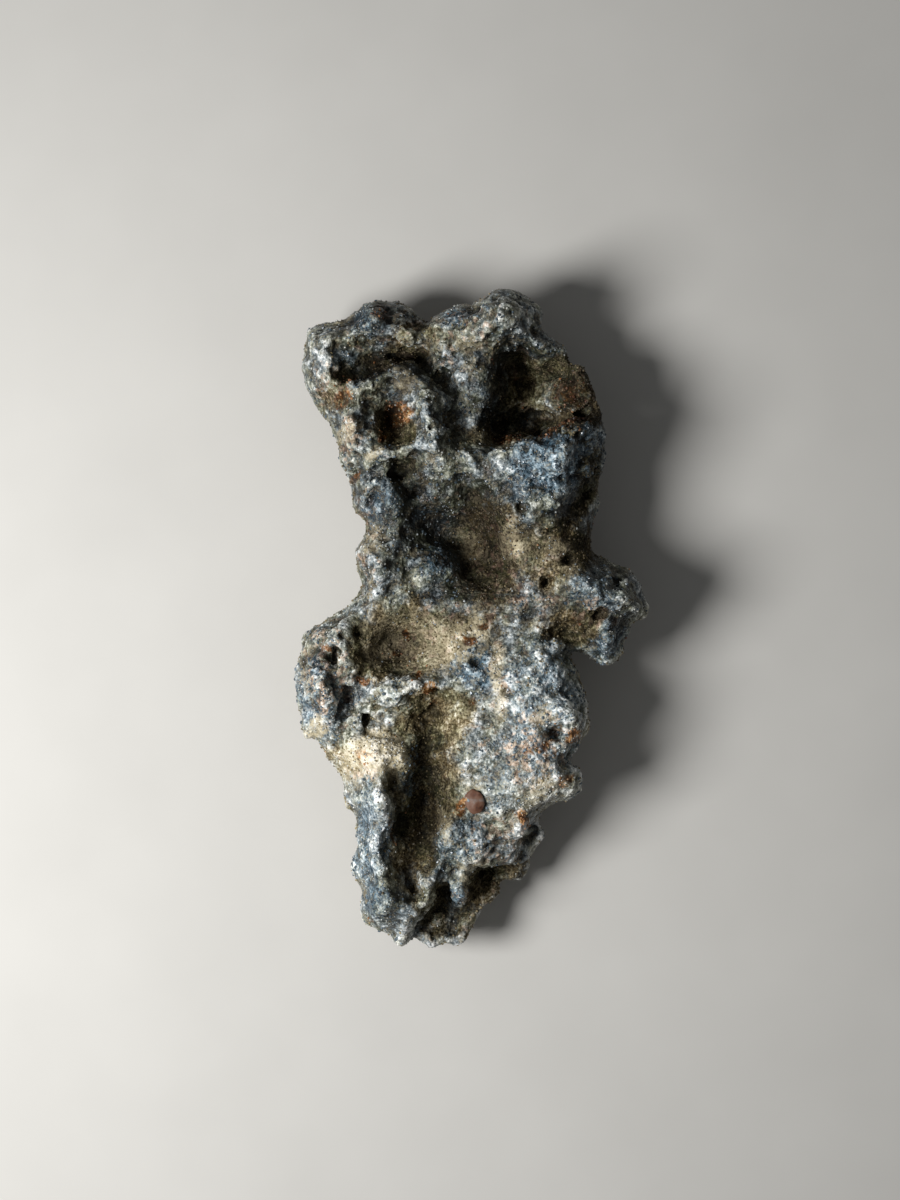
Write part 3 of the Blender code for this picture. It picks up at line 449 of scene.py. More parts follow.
def carved(x, y, z):
    # sides moved inwards by noise, more above and below the rim, and not at all on it
    step = 0.2
    depth = depthIn(x, y, rim)[0]
    inwardX = (depthIn(x + step, y, rim)[0] - depth) / step
    inwardY = (depthIn(x, y + step, rim)[0] - depth) / step
    above = z - rimHeight(x, y)
    away = np.where(above > 0, lump["frontCarve"], 1) * smooth(np.abs(above) / 4) * smooth(1 - depth / 7)
    carve = lump["sideCarve"] * away * (0.5 + 0.5 * noise(x, y, z, lump["sideCarveSize"], 51))
    carve += 0.4 * lump["sideCarve"] * away * noise(x, y, z, lump["sideCarveSize"] / 2, 52)
    return np.stack([x + carve * inwardX, y + carve * inwardY, z])


def share(x, y, table, seed):
    # how much each place belongs to a table's patches: 1.25 - q^2 of each ellipse, added up, ragged
    x2, y2 = x + 0.8 * noise(x, y, 0, 1.8, seed), y + 0.8 * noise(x, y, 0, 1.8, seed + 1)
    total = sum(strength * np.clip(1.25 - inEllipse(x2, y2, *ellipse) ** 2, 0, 1)
                for strength, *ellipse in table.values())
    return np.clip(total, 0, 1.3)


def frontness(x, y, z):
    # 0 below the rim and 1 on the front
    return smooth((z - rimHeight(x, y) + 1) / 3)


def roughness(x, y, z):
    # 1 where the crust is knotted and blistered, near 0 where it is smooth sand
    front = frontness(x, y, z)
    rough = 0.6 + 0.3 * noise(x, y, z, 6, 55) - 0.5 * front * share(x, y, smoothPlaces, 56)
    rough = np.clip(rough + 0.35 * front * share(x, y, roughPlaces, 58), 0.12, 1)
    # quieter round the rim, so that the outline keeps its shape
    return rough * (0.35 + 0.65 * smooth(np.abs(z - rimHeight(x, y)) / 3.5))


def warped(points, size, amount, seed):
    # the same places moved by soft noise in all three directions
    return points + amount * np.stack([noise(*points, size, seed + axis) for axis in range(3)])


def makeLump():
    # the sheets as even voxels, then coarse and fine crust raised along the normals, each a
    # height times a pattern
    mesh = even(lumpSheets(), lump["firstVoxel"])
    place(mesh, carved(*read(mesh)))
    mesh = even(mesh, lump["firstVoxel"])
    points = read(mesh)
    raised = lump["swellHeight"] * noise(*points, lump["swellSize"], 61)
    raised += lump["noduleHeight"] * (beads(*points, lump["noduleSize"], 62) - 0.7)
    raised += lump["beadHeight"] * (beads(*points, lump["beadSize"], 65) - 0.7)
    rough = roughness(*points)
    bent = warped(points, 1.6, 0.6, 66)
    raised += rough * lump["knobHeight"] * (beads(*bent, lump["knobSize"], 69) - 0.65)
    raised -= rough * lump["blisterDepth"] * pricks(*bent, *lump["blister"], 85)
    place(mesh, points + raised * read(mesh, "normal"))
    mesh = even(mesh, lump["lastVoxel"])
    points = read(mesh)
    rough = roughness(*points)
    bent = warped(points, 0.9, 0.3, 74)
    raised = (0.25 + 0.9 * rough) * lump["knotHeight"] * (beads(*bent, lump["knotSize"], 71) - 0.7)
    raised -= (0.15 + rough) * lump["crinkle"] * (np.abs(noise(*bent, lump["crinkleSize"], 78)) - 0.25)
    raised += lump["gritHeight"] * noise(*points, lump["gritSize"], 75)
    raised -= (0.3 + 0.8 * rough) * lump["prickDepth"] * pricks(*bent, *lump["prick"], 81)
    points = points + raised * read(mesh, "normal")
    points[2] = np.maximum(points[2], 0)  # the feet end flat on the floor
    middle = (points.min(axis=1) + points.max(axis=1)) / 2
    points[:2] -= middle[:2, None]
    place(mesh, points)
    mesh.shade_smooth()
    print("lump made,", len(mesh.vertices), "points,", 2 * len(mesh.polygons), "triangles")
    return mesh


lumpMesh = makeLump()

paintPlaces = dict(  # as the smooth places
    sand=dict(
        pitWall=(2.4, 11.6, 26.4, 4.4, 5.6, 18), shelfSide=(1.6, 13.6, 16.6, 2.2, 4.6, -14),
        holeFloor=(1.4, -8.9, 22.4, 2.2, 2), pitFloor=(1, 5.4, 22.4, 6.4, 2.6),
        pitMiddle=(0.7, 3.6, 26.4, 2, 3.8), valleyTan=(1, 2.2, 8.3, 4.2, 7.4),
        shoulder=(1, 10.6, 8.3, 5, 5), bowl=(1, -6.8, -2.5, 8, 4.4, -4),
        bowlLeft=(0.7, -11.8, -4.6, 2.6, 3.2), groove=(1.1, -5.2, -20.5, 4.2, 11.4),
        grooveTop=(1, -3.8, -11.1, 5, 3.6), neck=(1, 13.3, -0.3, 3, 3.2), neckLeft=(0.8, 10, -1, 3, 2),
        under=(1, 1, -35, 8, 6, 30), greenBoss=(0.7, -7.6, 33.5, 2.6, 2.3),
        cheek=(0.6, -16.2, 27.6, 2.4, 3), saddle=(0.5, -3.8, 32.9, 2.2, 2.2),
        cave=(0.8, -9.4, 30.8, 4.6, 1.6, 4), waist=(0.4, -2, 1.5, 11, 1.6),
        lowLeft=(0.8, -15.8, -16.5, 3, 2.4), ledge=(0.7, -10.7, -16.3, 4.4, 3),
        pocket=(0.5, -7.7, 17.6, 3, 2.4), thumbBack=(0.6, -9.6, -29, 2, 4),
    ),
    glass=dict(
        shelf=(1.2, 9.7, 18.2, 7.4, 5.4, 28), shelfLeft=(0.8, 4.4, 17, 4, 3.6),
        bluePatch=(2.4, 0.1, -5.5, 2.6, 3.2), lobe=(1.3, -17.6, -8.5, 3.6, 7, 8),
        thumb=(1.1, -12.2, -25.3, 2.8, 8), tongueRib=(1.6, -6.9, -18.8, 1.6, 4.8, 4),
        rightSwell=(1, 7.2, -8.5, 7, 6.6), lowerSwell=(0.8, -0.4, -27, 4.4, 3.4, -20),
        plain=(1.1, 5.4, -17.4, 7, 7.4), column=(0.8, -11, 14.4, 3, 5.4), knob=(0.8, 15.2, 3.6, 4.4, 3.6),
        knobLow=(0.7, 16.2, -2.4, 2.4, 2.6), topKnob=(0.8, -12.2, 35.9, 3, 2.2),
        topRight=(0.6, -1.6, 35, 2.6, 2), topEdge=(0.6, 6, 35.6, 3.4, 3),
        pitColumn=(0.9, -0.2, 27.3, 2.6, 5), boss=(1.1, -3.8, 6.7, 3.4, 3),
        valleyHead=(0.5, -6, 11.5, 3.6, 5), lip=(0.9, -3.2, -28, 1.5, 6, 14),
        lipTop=(0.6, 0.4, -24.8, 3, 2, -25), drip=(1, -1.7, -33, 1.4, 2.2),
        heel=(0.6, -11.5, -34, 2.8, 2.6), plateau=(0.8, -2.4, 17.6, 2.4, 2.2),
        boulder=(0.6, 8.4, 32.2, 3, 2.2),
    ),
    rust=dict(
        hole=(1.3, -8.8, 24.6, 2.2, 1.9), holeLow=(0.9, -11.2, 21.7, 0.7, 1.2),
        pitLow=(0.7, 9.6, 23.6, 4.6, 1.3, 10), pitWall=(0.65, 10.6, 25.8, 4, 4),
        pebble=(1.4, -1.5, -21.9, 1.2, 0.8), chip=(1.1, -0.4, -2.6, 0.9, 1.1),
        chipTop=(0.8, 1, -0.8, 0.8, 0.7), topKnob=(0.7, -10.4, 36.4, 1.4, 1),
        leftBead=(1, -13.6, 17.3, 0.9, 0.7), pitA=(0.9, 4, 21.6, 1.8, 1), pitB=(0.8, 8.2, 22.2, 1.8, 1),
        edgeA=(0.8, 7.6, -15.4, 1.5, 1.1), edgeB=(0.9, 11.6, -13.9, 1.2, 1.1),
        edgeC=(0.8, 11, -18.7, 1.2, 0.9), edgeD=(0.9, 5.8, -23.5, 1.4, 1.1),
        cheek=(0.7, -15.2, 26.3, 1.2, 0.9), cheekLow=(0.6, -14.8, 28.6, 1, 0.8),
        ledge=(0.6, -12.4, -16.4, 1.3, 1.1), poreA=(1.3, -7.1, -1.5, 0.7, 0.7),
        poreB=(1.3, -9.4, -4.4, 0.7, 0.7), poreC=(1.3, -12.9, -6.9, 0.8, 0.7),
        poreF=(1.2, -4.6, -8, 0.8, 0.7), poreG=(1.2, -6.2, -6.5, 0.7, 0.6),
        lobe=(0.8, -16.8, -3.4, 0.9, 0.6), lobeLow=(0.6, -15, -8.6, 1, 0.8),
        poreK=(0.6, 2.6, 30.8, 0.6, 0.6),
    ),
    pale=dict(
        bowl=(0.3, -5.6, -2.6, 7.6, 3.6, -4), bowlEast=(0.25, -2, -3.4, 4, 3),
        ledge=(0.8, -11.2, -15.8, 3.8, 3.1, -10), ledgeTop=(0.5, -9.4, -15.8, 1.6, 2.4),
        ledgeWest=(0.5, -14.6, -17.6, 1.8, 3), lobeFoot=(0.8, -18.8, -13, 2, 1.5),
        valleyRib=(0.55, 5, 9.5, 1.3, 3.6, 8), streak=(0.7, 2.9, -7.3, 1.1, 5.6),
        streakTop=(0.7, 1.2, -0.8, 0.9, 2.2, 25), columnFoot=(0.45, -12.2, 9.5, 1.6, 2.2),
        bead=(0.55, -14.6, 22.5, 1.4, 1.4), ringFoot=(0.6, -11.6, 19.7, 1.1, 0.9),
        right=(0.25, 7.5, -20, 4, 4), grooveLip=(0.5, -3, -25, 1, 2.6, 10),
    ),
    paintedShade=dict(  # painted shade: darker sand and glass where the forms fall into shadow
        valley=(1, 0.4, 9.2, 6.6, 8), shoulder=(0.7, 11.4, 9.4, 4.6, 5), valleyHead=(0.8, -6, 12, 3.4, 6),
        cave=(1.1, -9.4, 30.4, 6.4, 2.4), topKnob=(0.8, -11.4, 35.4, 4, 3, 10),
        pit=(1.4, 7.4, 26.6, 7.4, 6.6), pitWall=(0.6, 12, 27, 3.4, 5, 18),
        groove=(1.1, -5.6, -21.5, 4, 11.4, 2), bowlLeft=(0.55, -10.4, -3, 4, 3.6),
        shelfSide=(0.7, 13.6, 16.4, 2.4, 4.6, -14), pitGap=(1.4, 14.2, 24, 1.4, 1.9, -25),
        knobLow=(0.6, 15.6, -1.6, 4, 3.2), knob=(0.35, 15.4, 3.4, 5, 4),
        under=(0.95, 1.6, -34.4, 8, 5, 30), pocket=(0.8, -7.6, 15.6, 2.8, 4.6),
        heel=(0.65, -10.4, -34, 4, 3.6), ring=(0.25, -8.4, 26, 5, 5), column=(0.45, -11, 12, 3.6, 9),
        neck=(0.4, 11, -0.6, 3.6, 2.6), bluePatch=(0.3, 0.1, -5.6, 2.6, 3.2),
        bowl=(0.25, -6.4, -2.4, 8.4, 4.6, -4), waist=(0.45, 0, 1.8, 12, 2), lobe=(0.25, -17, -6, 4, 8, 8),
        lensRim=(1.3, -18.6, -5.1, 2.1, 1.2, -6), tipRight=(0.3, 6, -30, 4, 3),
    ),
    paintedLight=dict(  # painted light: brighter crust where light falls, and on forms lifted out of shadow
        topLeft=(0.4, -16, 32.6, 5, 4), column=(0.3, -12.2, 15.6, 1.7, 4.4),
        shelf=(0.35, 9.4, 18.4, 7, 4.8, 28), ledge=(0.5, -11.8, -16, 4.4, 3.2, -10),
        lens=(2.6, -18.7, -5.7, 1.3, 0.6, -6), rib=(2.6, -7.1, -19.4, 1.2, 3, 4),
        swell=(0.35, 8, -8.5, 6, 6), hole=(0.9, -7.6, 25, 1.6, 2), bowlRight=(0.5, -2.4, -3.6, 3.4, 3.4),
    ),
    blue=dict(
        shelf=(1, 9.4, 18.6, 7, 4.8, 28), patch=(1.9, 0.1, -5.5, 2.6, 3.2),
        rib=(1.1, -6.9, -18.8, 1.6, 4.8, 4), drip=(1, -1.7, -33, 1.3, 2.2),
        column=(0.5, -10.6, 12.4, 2.4, 4), lens=(2.4, -18.5, -5.4, 1.5, 0.9),
        thumb=(0.7, -12.2, -26, 2.6, 8), shelfTip=(0.5, 13.6, 22, 2.2, 2), top=(0.7, -2, 36, 2, 1.6),
        topKnob=(0.6, -12.8, 36, 1.6, 1.8), swell=(0.55, 7.6, -8, 6, 6), low=(0.5, -1.4, -26.4, 4, 3.4),
        plain=(0.3, 4.6, -18, 6, 6), heel=(0.4, -11, -34, 3, 2.6), divide=(0.5, -7, -8.8, 4.4, 1.6),
        lobe=(0.6, -18.4, -9.4, 3, 5.4, 8), lowRight=(0.3, 8, -14, 5, 5), knobLow=(0.6, 16.2, -2.4, 3, 3),
        boss=(0.8, -3.6, 6.9, 2.6, 2.6), knob=(0.4, 14, 3.4, 3, 2.6),
    ),
    salmon=dict(
        bowl=(0.6, -5, -2.6, 5.4, 4), lobe=(0.55, -17.4, -5.4, 4, 8.4, 8), swell=(0.35, 5.6, -11, 6, 8),
        streak=(0.6, 2.9, -5, 1.2, 6, 6), lowRight=(0.6, 8, -16.4, 4.6, 6),
        lowerSwell=(0.5, 3, -26, 5, 4, -20), ledge=(0.75, -12.6, -16.4, 3, 2.6),
        under=(0.45, 0, -36, 7, 4, 20), cheek=(0.6, -17, 27.6, 2.4, 3.6), bead=(0.7, -14.6, 21.6, 2, 3),
        waist=(0.3, 3, 1.6, 10, 2.6), pitWall=(0.5, 11.4, 26, 4, 5), shoulder=(0.35, 7, 7, 7, 6),
        knob=(0.4, 14, 0.4, 3, 3), top=(0.3, -4, 34, 14, 5), column=(0.5, -12.6, 8.6, 2.4, 8),
        valley=(0.3, 0, 9, 7, 6),
    ),
)

def averaged(values, edges, rounds):
    # each point's value becomes the mean of its neighbours', over and over
    count = np.bincount(edges.ravel(), minlength=len(values))
    for _ in range(rounds):
        total = np.bincount(edges[:, 0], values[edges[:, 1]], len(values))
        total += np.bincount(edges[:, 1], values[edges[:, 0]], len(values))
        values = total / count
    return values


def addAttribute(mesh, name, values):
    mesh.attributes.new(name, "FLOAT", "POINT").data.foreach_set("value", values.astype(np.float32))


def paintLump(mesh):
    # sand lies where its patches, the hollows and soft noise say, glass on the swellings
    points, outward = read(mesh), read(mesh, "normal")
    edges = np.empty(len(mesh.edges) * 2, np.int64)
    mesh.edges.foreach_get("vertices", edges)
    edges = edges.reshape(-1, 2)
    # mm above the surface smoothed widely, and smoothed closely
    swelling, crest = (
        np.sum((points - np.stack([averaged(axis, edges, rounds) for axis in points])) * outward, axis=0)
        for rounds in (60, 5))
    x, y, z = points
    front = frontness(x, y, z)
    much = {name: share(x, y, places, seed)
            for (name, places), seed in zip(paintPlaces.items(), (93, 95, 97, 101, 109, 111, 105, 113))}
    # painted shade in the front's hollows: deeper relief is painted darker
    paintedHollowShade = front * smooth((-1 - reliefOn(x, y)) / 8)
    ragged = 0.5 * noise(x, y, z, 2.2, 91)
    broad = noise(x, y, z, 8, 92)
    backSand = 0.5 + 0.35 * broad + ragged - 0.25 * swelling
    frontSand = 0.1 + 0.6 * ragged + 0.12 * broad - 0.4 * swelling + (much["sand"] - 0.6 * much["glass"])
    rust = np.clip(front * much["rust"] + 0.6 * smooth((noise(x, y, z, 2.4, 99) - 0.66) / 0.3), 0, 1)
    pale = front * much["pale"] + 0.35 * smooth((noise(x, y, z, 4, 103) - 0.4) / 0.4)
    # painted light: the lower half's crust lighter, as if nearer the lamp, and swellings lighter than what
    # lies between them as painted highlights
    light = 0.34 + 0.32 * smooth(0.5 - (y - 2) / 40) + 0.22 * swelling
    paint = {
        "sand": np.clip(front * frontSand + (1 - front) * backSand, 0, 1),
        "rust": rust,
        "pale": np.clip(pale, 0, 1),
        "salmon": np.clip(0.25 + 0.2 * broad + front * (much["salmon"] - 0.15), 0, 1),
        "blue": np.clip(front * much["blue"] + 0.25 * noise(x, y, z, 3, 107), 0, 1),
        # painted shade: darker in hollows and in creases below the nearby surface, less over rust
        "paintedHollowShade": np.clip((0.85 * paintedHollowShade + 0.35 * smooth(-swelling / 1.6)) * (1 - 0.3 * rust), 0, 1),
        "crest": smooth(0.5 + crest / 0.4),
        # painted light and shade: less light in the painted shade patches, more in the painted light
        # patches
        "light": np.clip(light - 0.7 * front * much["paintedShade"] + 0.5 * front * much["paintedLight"], -0.5, 1),
    }
    for name, values in paint.items():
        addAttribute(mesh, name, values)
    return paint


painted = paintLump(lumpMesh)
print("colours laid out")


def linear(code):
    # an sRGB hex colour as linear red, green, blue and alpha
    parts = [int(code[at:at + 2], 16) / 255 for at in (1, 3, 5)]
    return (*[part / 12.92 if part <= 0.04045 else ((part + 0.055) / 1.055) ** 2.4 for part in parts], 1)


def plug(node, inputs):
    # values, sockets, or nodes' first outputs in use, put on a node's inputs
    for name, value in inputs.items():
        if isinstance(value, bpy.types.Node):
            value = next(socket for socket in value.outputs if socket.enabled)
        if isinstance(value, bpy.types.NodeSocket):
            node.id_data.links.new(value, node.inputs[name])
        else:
            node.inputs[name].default_value = value


def addNode(tree, kind, inputs, **settings):
    # one node with its inputs and its own settings, stops being a ramp's (position, colour) pairs
    node = tree.nodes.new("ShaderNode" + kind)
    stops = settings.pop("stops", [])
    for name, value in settings.items():
        setattr(node, name, value)
    for number, (position, code) in enumerate(stops):
        if number > 1:
            node.color_ramp.elements.new(position)
        node.color_ramp.elements[number].position = position
        node.color_ramp.elements[number].color = linear(code)
    plug(node, inputs)
    return node


def newMaterial(name, ior):
    material = bpy.data.materials.new(name)
    material.use_nodes = True
    shader = material.node_tree.nodes["Principled BSDF"]
    shader.inputs["IOR"].default_value = ior
    place = addNode(material.node_tree, "TexCoord", {}).outputs["Object"]
    return material, material.node_tree, shader, place


def weighted(tree, parts, weights):
    # the sum of each socket times its weight
    total = 0.0
    for part, weight in zip(parts, weights):
        total = addNode(tree, "Math", {0: part, 1: weight, 2: total}, operation="MULTIPLY_ADD")
    return total


def spaced(middle, colours):
    # the colours as a ramp's stops, first at 0, last at 1 and the others where middle says
    return list(zip((0.0, *middle, 1.0), colours.split()))


crustLook = {
    "roughness": (0.38, 0.85), "gloss": (0.5, 0.1),  # on glass and on sand
    # hollows: the darkest that the painted shade in hollows makes the colour
    "ior": 1.46, "hollows": 0.46, "warpSize": 0.5, "warp": 0.35, "grainBump": 0.14, "dustBump": 0.05,
    # name: (texture, size in mm, detail, whether it follows the bent places)
    # real grains are 0.2 to 0.5 mm, and the speckle and dust stand for their finer marks
    "patterns": {
        "grain": ("TexVoronoi", 0.42, 0, True), "fineGrain": ("TexVoronoi", 0.2, 0, True),
        "speckle": ("TexNoise", 0.32, 3, True), "fleck": ("TexNoise", 1, 2, True),
        "blotch": ("TexNoise", 1.3, 4, False), "hue": ("TexNoise", 3.2, 3, False),
        "dust": ("TexNoise", 0.1, 2, False),
    },
    # the values of a pattern that become 0 and 1
    "contrast": {
        "speckle": (0.36, 0.64), "fleck": (0.36, 0.64), "blotch": (0.36, 0.64), "hue": (0.42, 0.6)},
    # weights of grain, fine grain, speckle, blotch, crest and light in a grain's tone, and the
    # sums that become 0 and 1; crest is a painted highlight on what stands proud and painted shade in
    # creases, light is the painted light and shade: loose sand shows its grains more and the crust's
    # painted shading less
    "crustTone": ((0.12, 0.1, 0.26, 0.26, 0.42, 0.44), 0.3, 1.28),
    "sandTone": ((0.14, 0.12, 0.34, 0.24, 0.26, 0.5), 0.22, 1.28),
    "ramps": {
        "glass": spaced((0.33, 0.55, 0.77), "#0e1213 #2b3235 #5b6467 #a2a9aa #f8f9f7"),
        "green": spaced((0.33, 0.55, 0.77), "#13150e #34362a #626454 #a2a392 #f2f2e7"),
        "blue": spaced((0.33, 0.55, 0.77), "#08121a #1d313d #435b6a #869ba6 #ecf3f6"),
        "sand": spaced((0.36, 0.55, 0.73), "#141009 #352c1b #62553b #96886b #e8dfc8"),
        "olive": spaced((0.36, 0.55, 0.73), "#10100a #2d2b19 #57523a #8a8566 #dad7bc"),
        "salmon": spaced((0.34, 0.55, 0.77), "#251b14 #57463a #8f7b69 #c8b29d #f8ecdf"),
        "rust": spaced((0.35, 0.65), "#150d05 #402913 #7b522c #c89d69"),
        "pale": spaced((0.3, 0.6), "#675e4b #988d72 #bdb296 #ece4d0"),
    },
    # name: (pattern, its weight, the lead that counts as none)
    "layers": {
        "blue": ("blotch", -0.42, -0.36), "sand": ("blotch", -0.42, -0.36), "salmon": ("fleck", -0.8, 0),
        "pale": ("blotch", -0.42, -0.36), "rust": ("blotch", -0.42, 0),
    },
}


def fusedSandCrust():
    # Fulgurite crust: quartz sand half melted into silica glass by lightning, then frozen.
    # The eye sees salt-and-pepper grains, wet-looking glints on the glass, dull sand in the hollows.
    look = crustLook
    material, tree, shader, place = newMaterial("Fused silica crust with quartz sand", look["ior"])
    drift = addNode(tree, "TexNoise", {"Vector": place, "Scale": 1 / (look["warpSize"] * mm), "Detail": 1})
    bent = addNode(tree, "VectorMath", {0: drift.outputs["Color"], 1: (look["warp"] * mm,) * 3, 2: place},
                   operation="MULTIPLY_ADD")
    pattern = {}
    for name, (kind, size, detail, follows) in look["patterns"].items():
        pattern[name] = addNode(tree, kind, {
            "Vector": bent if follows else place, "Scale": 1 / (size * mm), "Detail": detail})
    cell = addNode(tree, "SeparateColor", {"Color": pattern["grain"].outputs["Color"]}).outputs
    small = addNode(tree, "SeparateColor", {"Color": pattern["fineGrain"].outputs["Color"]}).outputs
    for name, (low, high) in look["contrast"].items():
        pattern[name] = addNode(
            tree, "MapRange", {"Value": pattern[name], "From Min": low, "From Max": high})
    paint = {name: addNode(tree, "Attribute", {}, attribute_name=name).outputs["Fac"] for name in painted}
    # a grain's tone: its cell's own number, the finer cells, speckle, soft blotches, a painted highlight by
    # how proud it stands, and the painted light and shade
    parts = (cell[0], small[0], pattern["speckle"], pattern["blotch"], paint["crest"], paint["light"])
    tones = []
    for weights, low, high in (look["crustTone"], look["sandTone"]):
        total = weighted(tree, parts, weights)
        tones.append(addNode(tree, "MapRange", {"Value": total, "From Min": low, "From Max": high}))
    colours = {name: addNode(tree, "ValToRGB", {"Fac": tones[name in ("sand", "olive")]}, stops=stops)
               for name, stops in look["ramps"].items()}
    for name, tint in (("glass", "green"), ("sand", "olive")):
        colours[name] = addNode(
            tree, "Mix", {0: pattern["hue"], 6: colours[name], 7: colours[tint]}, data_type="RGBA")
    # a spot is sand, rust, pale or blue where that share beats its grain's and patch's numbers
    numbers = {"sand": cell[1], "rust": cell[2], "pale": small[1], "blue": small[2], "salmon": cell[2]}
    colour, shares = colours["glass"], {}
    for name, (patch, weight, none) in look["layers"].items():
        lead = weighted(tree, (paint[name], numbers[name], pattern[patch]), (1, -0.42, weight))
        shares[name] = addNode(tree, "MapRange", {"Value": lead, "From Min": none, "From Max": 0.45})
        colour = addNode(tree, "Mix", {0: shares[name], 6: colour, 7: colours[name]}, data_type="RGBA")
    # painted shade: the colour darkened in hollows and creases, down to the hollows setting
    shade = addNode(tree, "MapRange", {"Value": paint["paintedHollowShade"], "To Min": 1, "To Max": look["hollows"]})
    colour = addNode(tree, "Mix", {0: 1, 6: colour, 7: shade}, data_type="RGBA", blend_type="MULTIPLY")
    rough, gloss = (addNode(tree, "Mix", {0: shares["sand"], 2: glass, 3: sand})
                    for glass, sand in (look["roughness"], look["gloss"]))
    bump = {"Distance": look["grainBump"] * mm, "Height": pattern["grain"]}
    bump = addNode(tree, "Bump", bump, invert=True)
    bump = {"Distance": look["dustBump"] * mm, "Height": pattern["dust"], "Normal": bump}
    bump = addNode(tree, "Bump", bump)
    plug(shader, {"Base Color": colour, "Roughness": rough, "Specular IOR Level": gloss, "Normal": bump})
    return material


def dressed(name, mesh, material):
    # a finished piece: it is fused to the lump, so it rides the one body
    mesh.materials.append(material)
    piece = linked(name, mesh)
    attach(piece, "root")
    return piece


lumpPiece = dressed("fused_sand_lump", lumpMesh, fusedSandCrust())
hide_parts("fulgurite")

grainKinds = {  # out is how far a grain's middle stands off the crust, in radii
    "tan_quartz_grains": dict(
        count=7000, radius=(0.08, 0.18), out=0.05, seed=1, roughness=0.6, ior=1.54,
        material="Tan quartz sand", colours="#332a1a #554930 #7d6f4f #b3a581",
        base=0.06, likes=dict(sand=1.2, pale=0.3, rust=0.2)),
    "clear_quartz_grains": dict(
        count=4000, radius=(0.07, 0.15), out=0.1, seed=2, roughness=0.32, ior=1.54,
        material="Pale quartz sand", colours="#666b6d #8b9090 #b0b0a9 #dedcd4",
        base=0.6, likes=dict(sand=-0.8, pale=1.4, rust=0)),
    "smoky_glass_beads": dict(
        count=2600, radius=(0.1, 0.24), out=-0.1, seed=3, roughness=0.22, ior=1.46,
        material="Blue-grey fused silica glass", colours="#2e383e #465159 #64717a #8f9ba2",
        base=0.2, likes=dict(sand=-0.9, pale=-1.4, rust=-0.5, blue=1.2)),
    "iron_stained_grains": dict(
        count=450, radius=(0.08, 0.2), out=0.05, seed=4, roughness=0.55, ior=1.54,
        material="Iron-stained quartz sand", colours="#4a2b16 #7a5233 #a67a52 #cca683",
        base=0, likes=dict(sand=0.02, pale=0.05, rust=2)),
}


def ballPoints():
    # the twelve corners and twenty faces of an icosahedron
    golden = (1 + math.sqrt(5)) / 2
    corners = np.array([np.roll((near, far, 0), shift)
                        for shift in range(3) for far in (golden, -golden) for near in (-1, 1)])
    faces = np.array([
        (0, 11, 5), (0, 5, 1), (0, 1, 7), (0, 7, 10), (0, 10, 11), (1, 5, 9), (5, 11, 4), (11, 10, 2),
        (10, 7, 6), (7, 1, 8), (3, 9, 4), (3, 4, 2), (3, 2, 6), (3, 6, 8), (3, 8, 9), (4, 9, 5),
        (2, 4, 11), (6, 2, 10), (8, 6, 7), (9, 8, 1),
    ])
    return corners / math.hypot(1, golden), faces


def turns(count, rng):
    # one random rotation matrix each, from quaternions of even spread
    quaternions = rng.normal(size=(4, count))
    w, x, y, z = quaternions / np.linalg.norm(quaternions, axis=0)
    return np.array([
        [1 - 2 * (y * y + z * z), 2 * (x * y - z * w), 2 * (x * z + y * w)],
        [2 * (x * y + z * w), 1 - 2 * (x * x + z * z), 2 * (y * z - x * w)],
        [2 * (x * z - y * w), 2 * (y * z + x * w), 1 - 2 * (x * x + y * y)],
    ]).transpose(2, 0, 1)


def scatterGrains(name, kind):
    # points drawn on the lump's triangles by area times liking, each given a turned, dented ball
    rng = np.random.default_rng(kind["seed"])
    count = kind["count"]
    lumpMesh.calc_loop_triangles()
    corners = np.empty(len(lumpMesh.loop_triangles) * 3, np.int64)
    lumpMesh.loop_triangles.foreach_get("vertices", corners)
    corners = corners.reshape(-1, 3)
    points, outward = read(lumpMesh).T, read(lumpMesh, "normal").T
    a, b, c = (points[corners[:, side]] for side in range(3))
    area = np.linalg.norm(np.cross(b - a, c - a), axis=1)
    liking = kind["base"] + sum(weight * painted[what] for what, weight in kind["likes"].items())
    above = np.where(points[:, 2] > 0.6, 1, 0.1)  # few near the floor
    liking = np.clip(liking, 0, None) * (0.35 + 0.65 * painted["crest"]) * above
    weight = area * liking[corners].mean(axis=1)
    chosen = rng.choice(len(corners), count, p=weight / weight.sum())
    s, t = rng.random((2, count, 1))
    s, t = np.where(s + t > 1, 1 - s, s), np.where(s + t > 1, 1 - t, t)
    middle = a[chosen] + s * (b[chosen] - a[chosen]) + t * (c[chosen] - a[chosen])
    low, high = kind["radius"]
    radius = low + (high - low) * rng.random((count, 1)) ** 1.6
    ball, faces = ballPoints()
    dented = 0.85 + 0.3 * rng.random((count, len(ball), 1))
    shape = ball[None] * dented * (0.75 + 0.5 * rng.random((count, 1, 3)))
    shape = np.einsum("nij,nkj->nki", turns(count, rng), shape) * radius[:, None]
    nearest = corners[chosen, 0]
    places = middle[:, None] + kind["out"] * radius[:, None] * outward[nearest][:, None] + shape
    kept = places[:, :, 2].min(axis=1) > 0.05  # none under the feet
    # painted light and shade: a grain's tone follows the light paint and the painted hollow shade where it
    # sits
    around = (painted["light"] * (1 - 0.6 * painted["paintedHollowShade"]))[nearest]
    tone = (0.6 * rng.random(count) + 0.55 * around - 0.08)[kept]
    faces = faces + len(ball) * np.arange(kept.sum())[:, None, None]
    mesh = bpy.data.meshes.new(name)
    mesh.from_pydata(places[kept].reshape(-1, 3) * mm, [], faces.reshape(-1, 3))
    addAttribute(mesh, "tone", np.repeat(tone, len(ball)))
    dressed(name, mesh, grainMaterial(kind))
    print(name, "made,", kept.sum(), "grains")


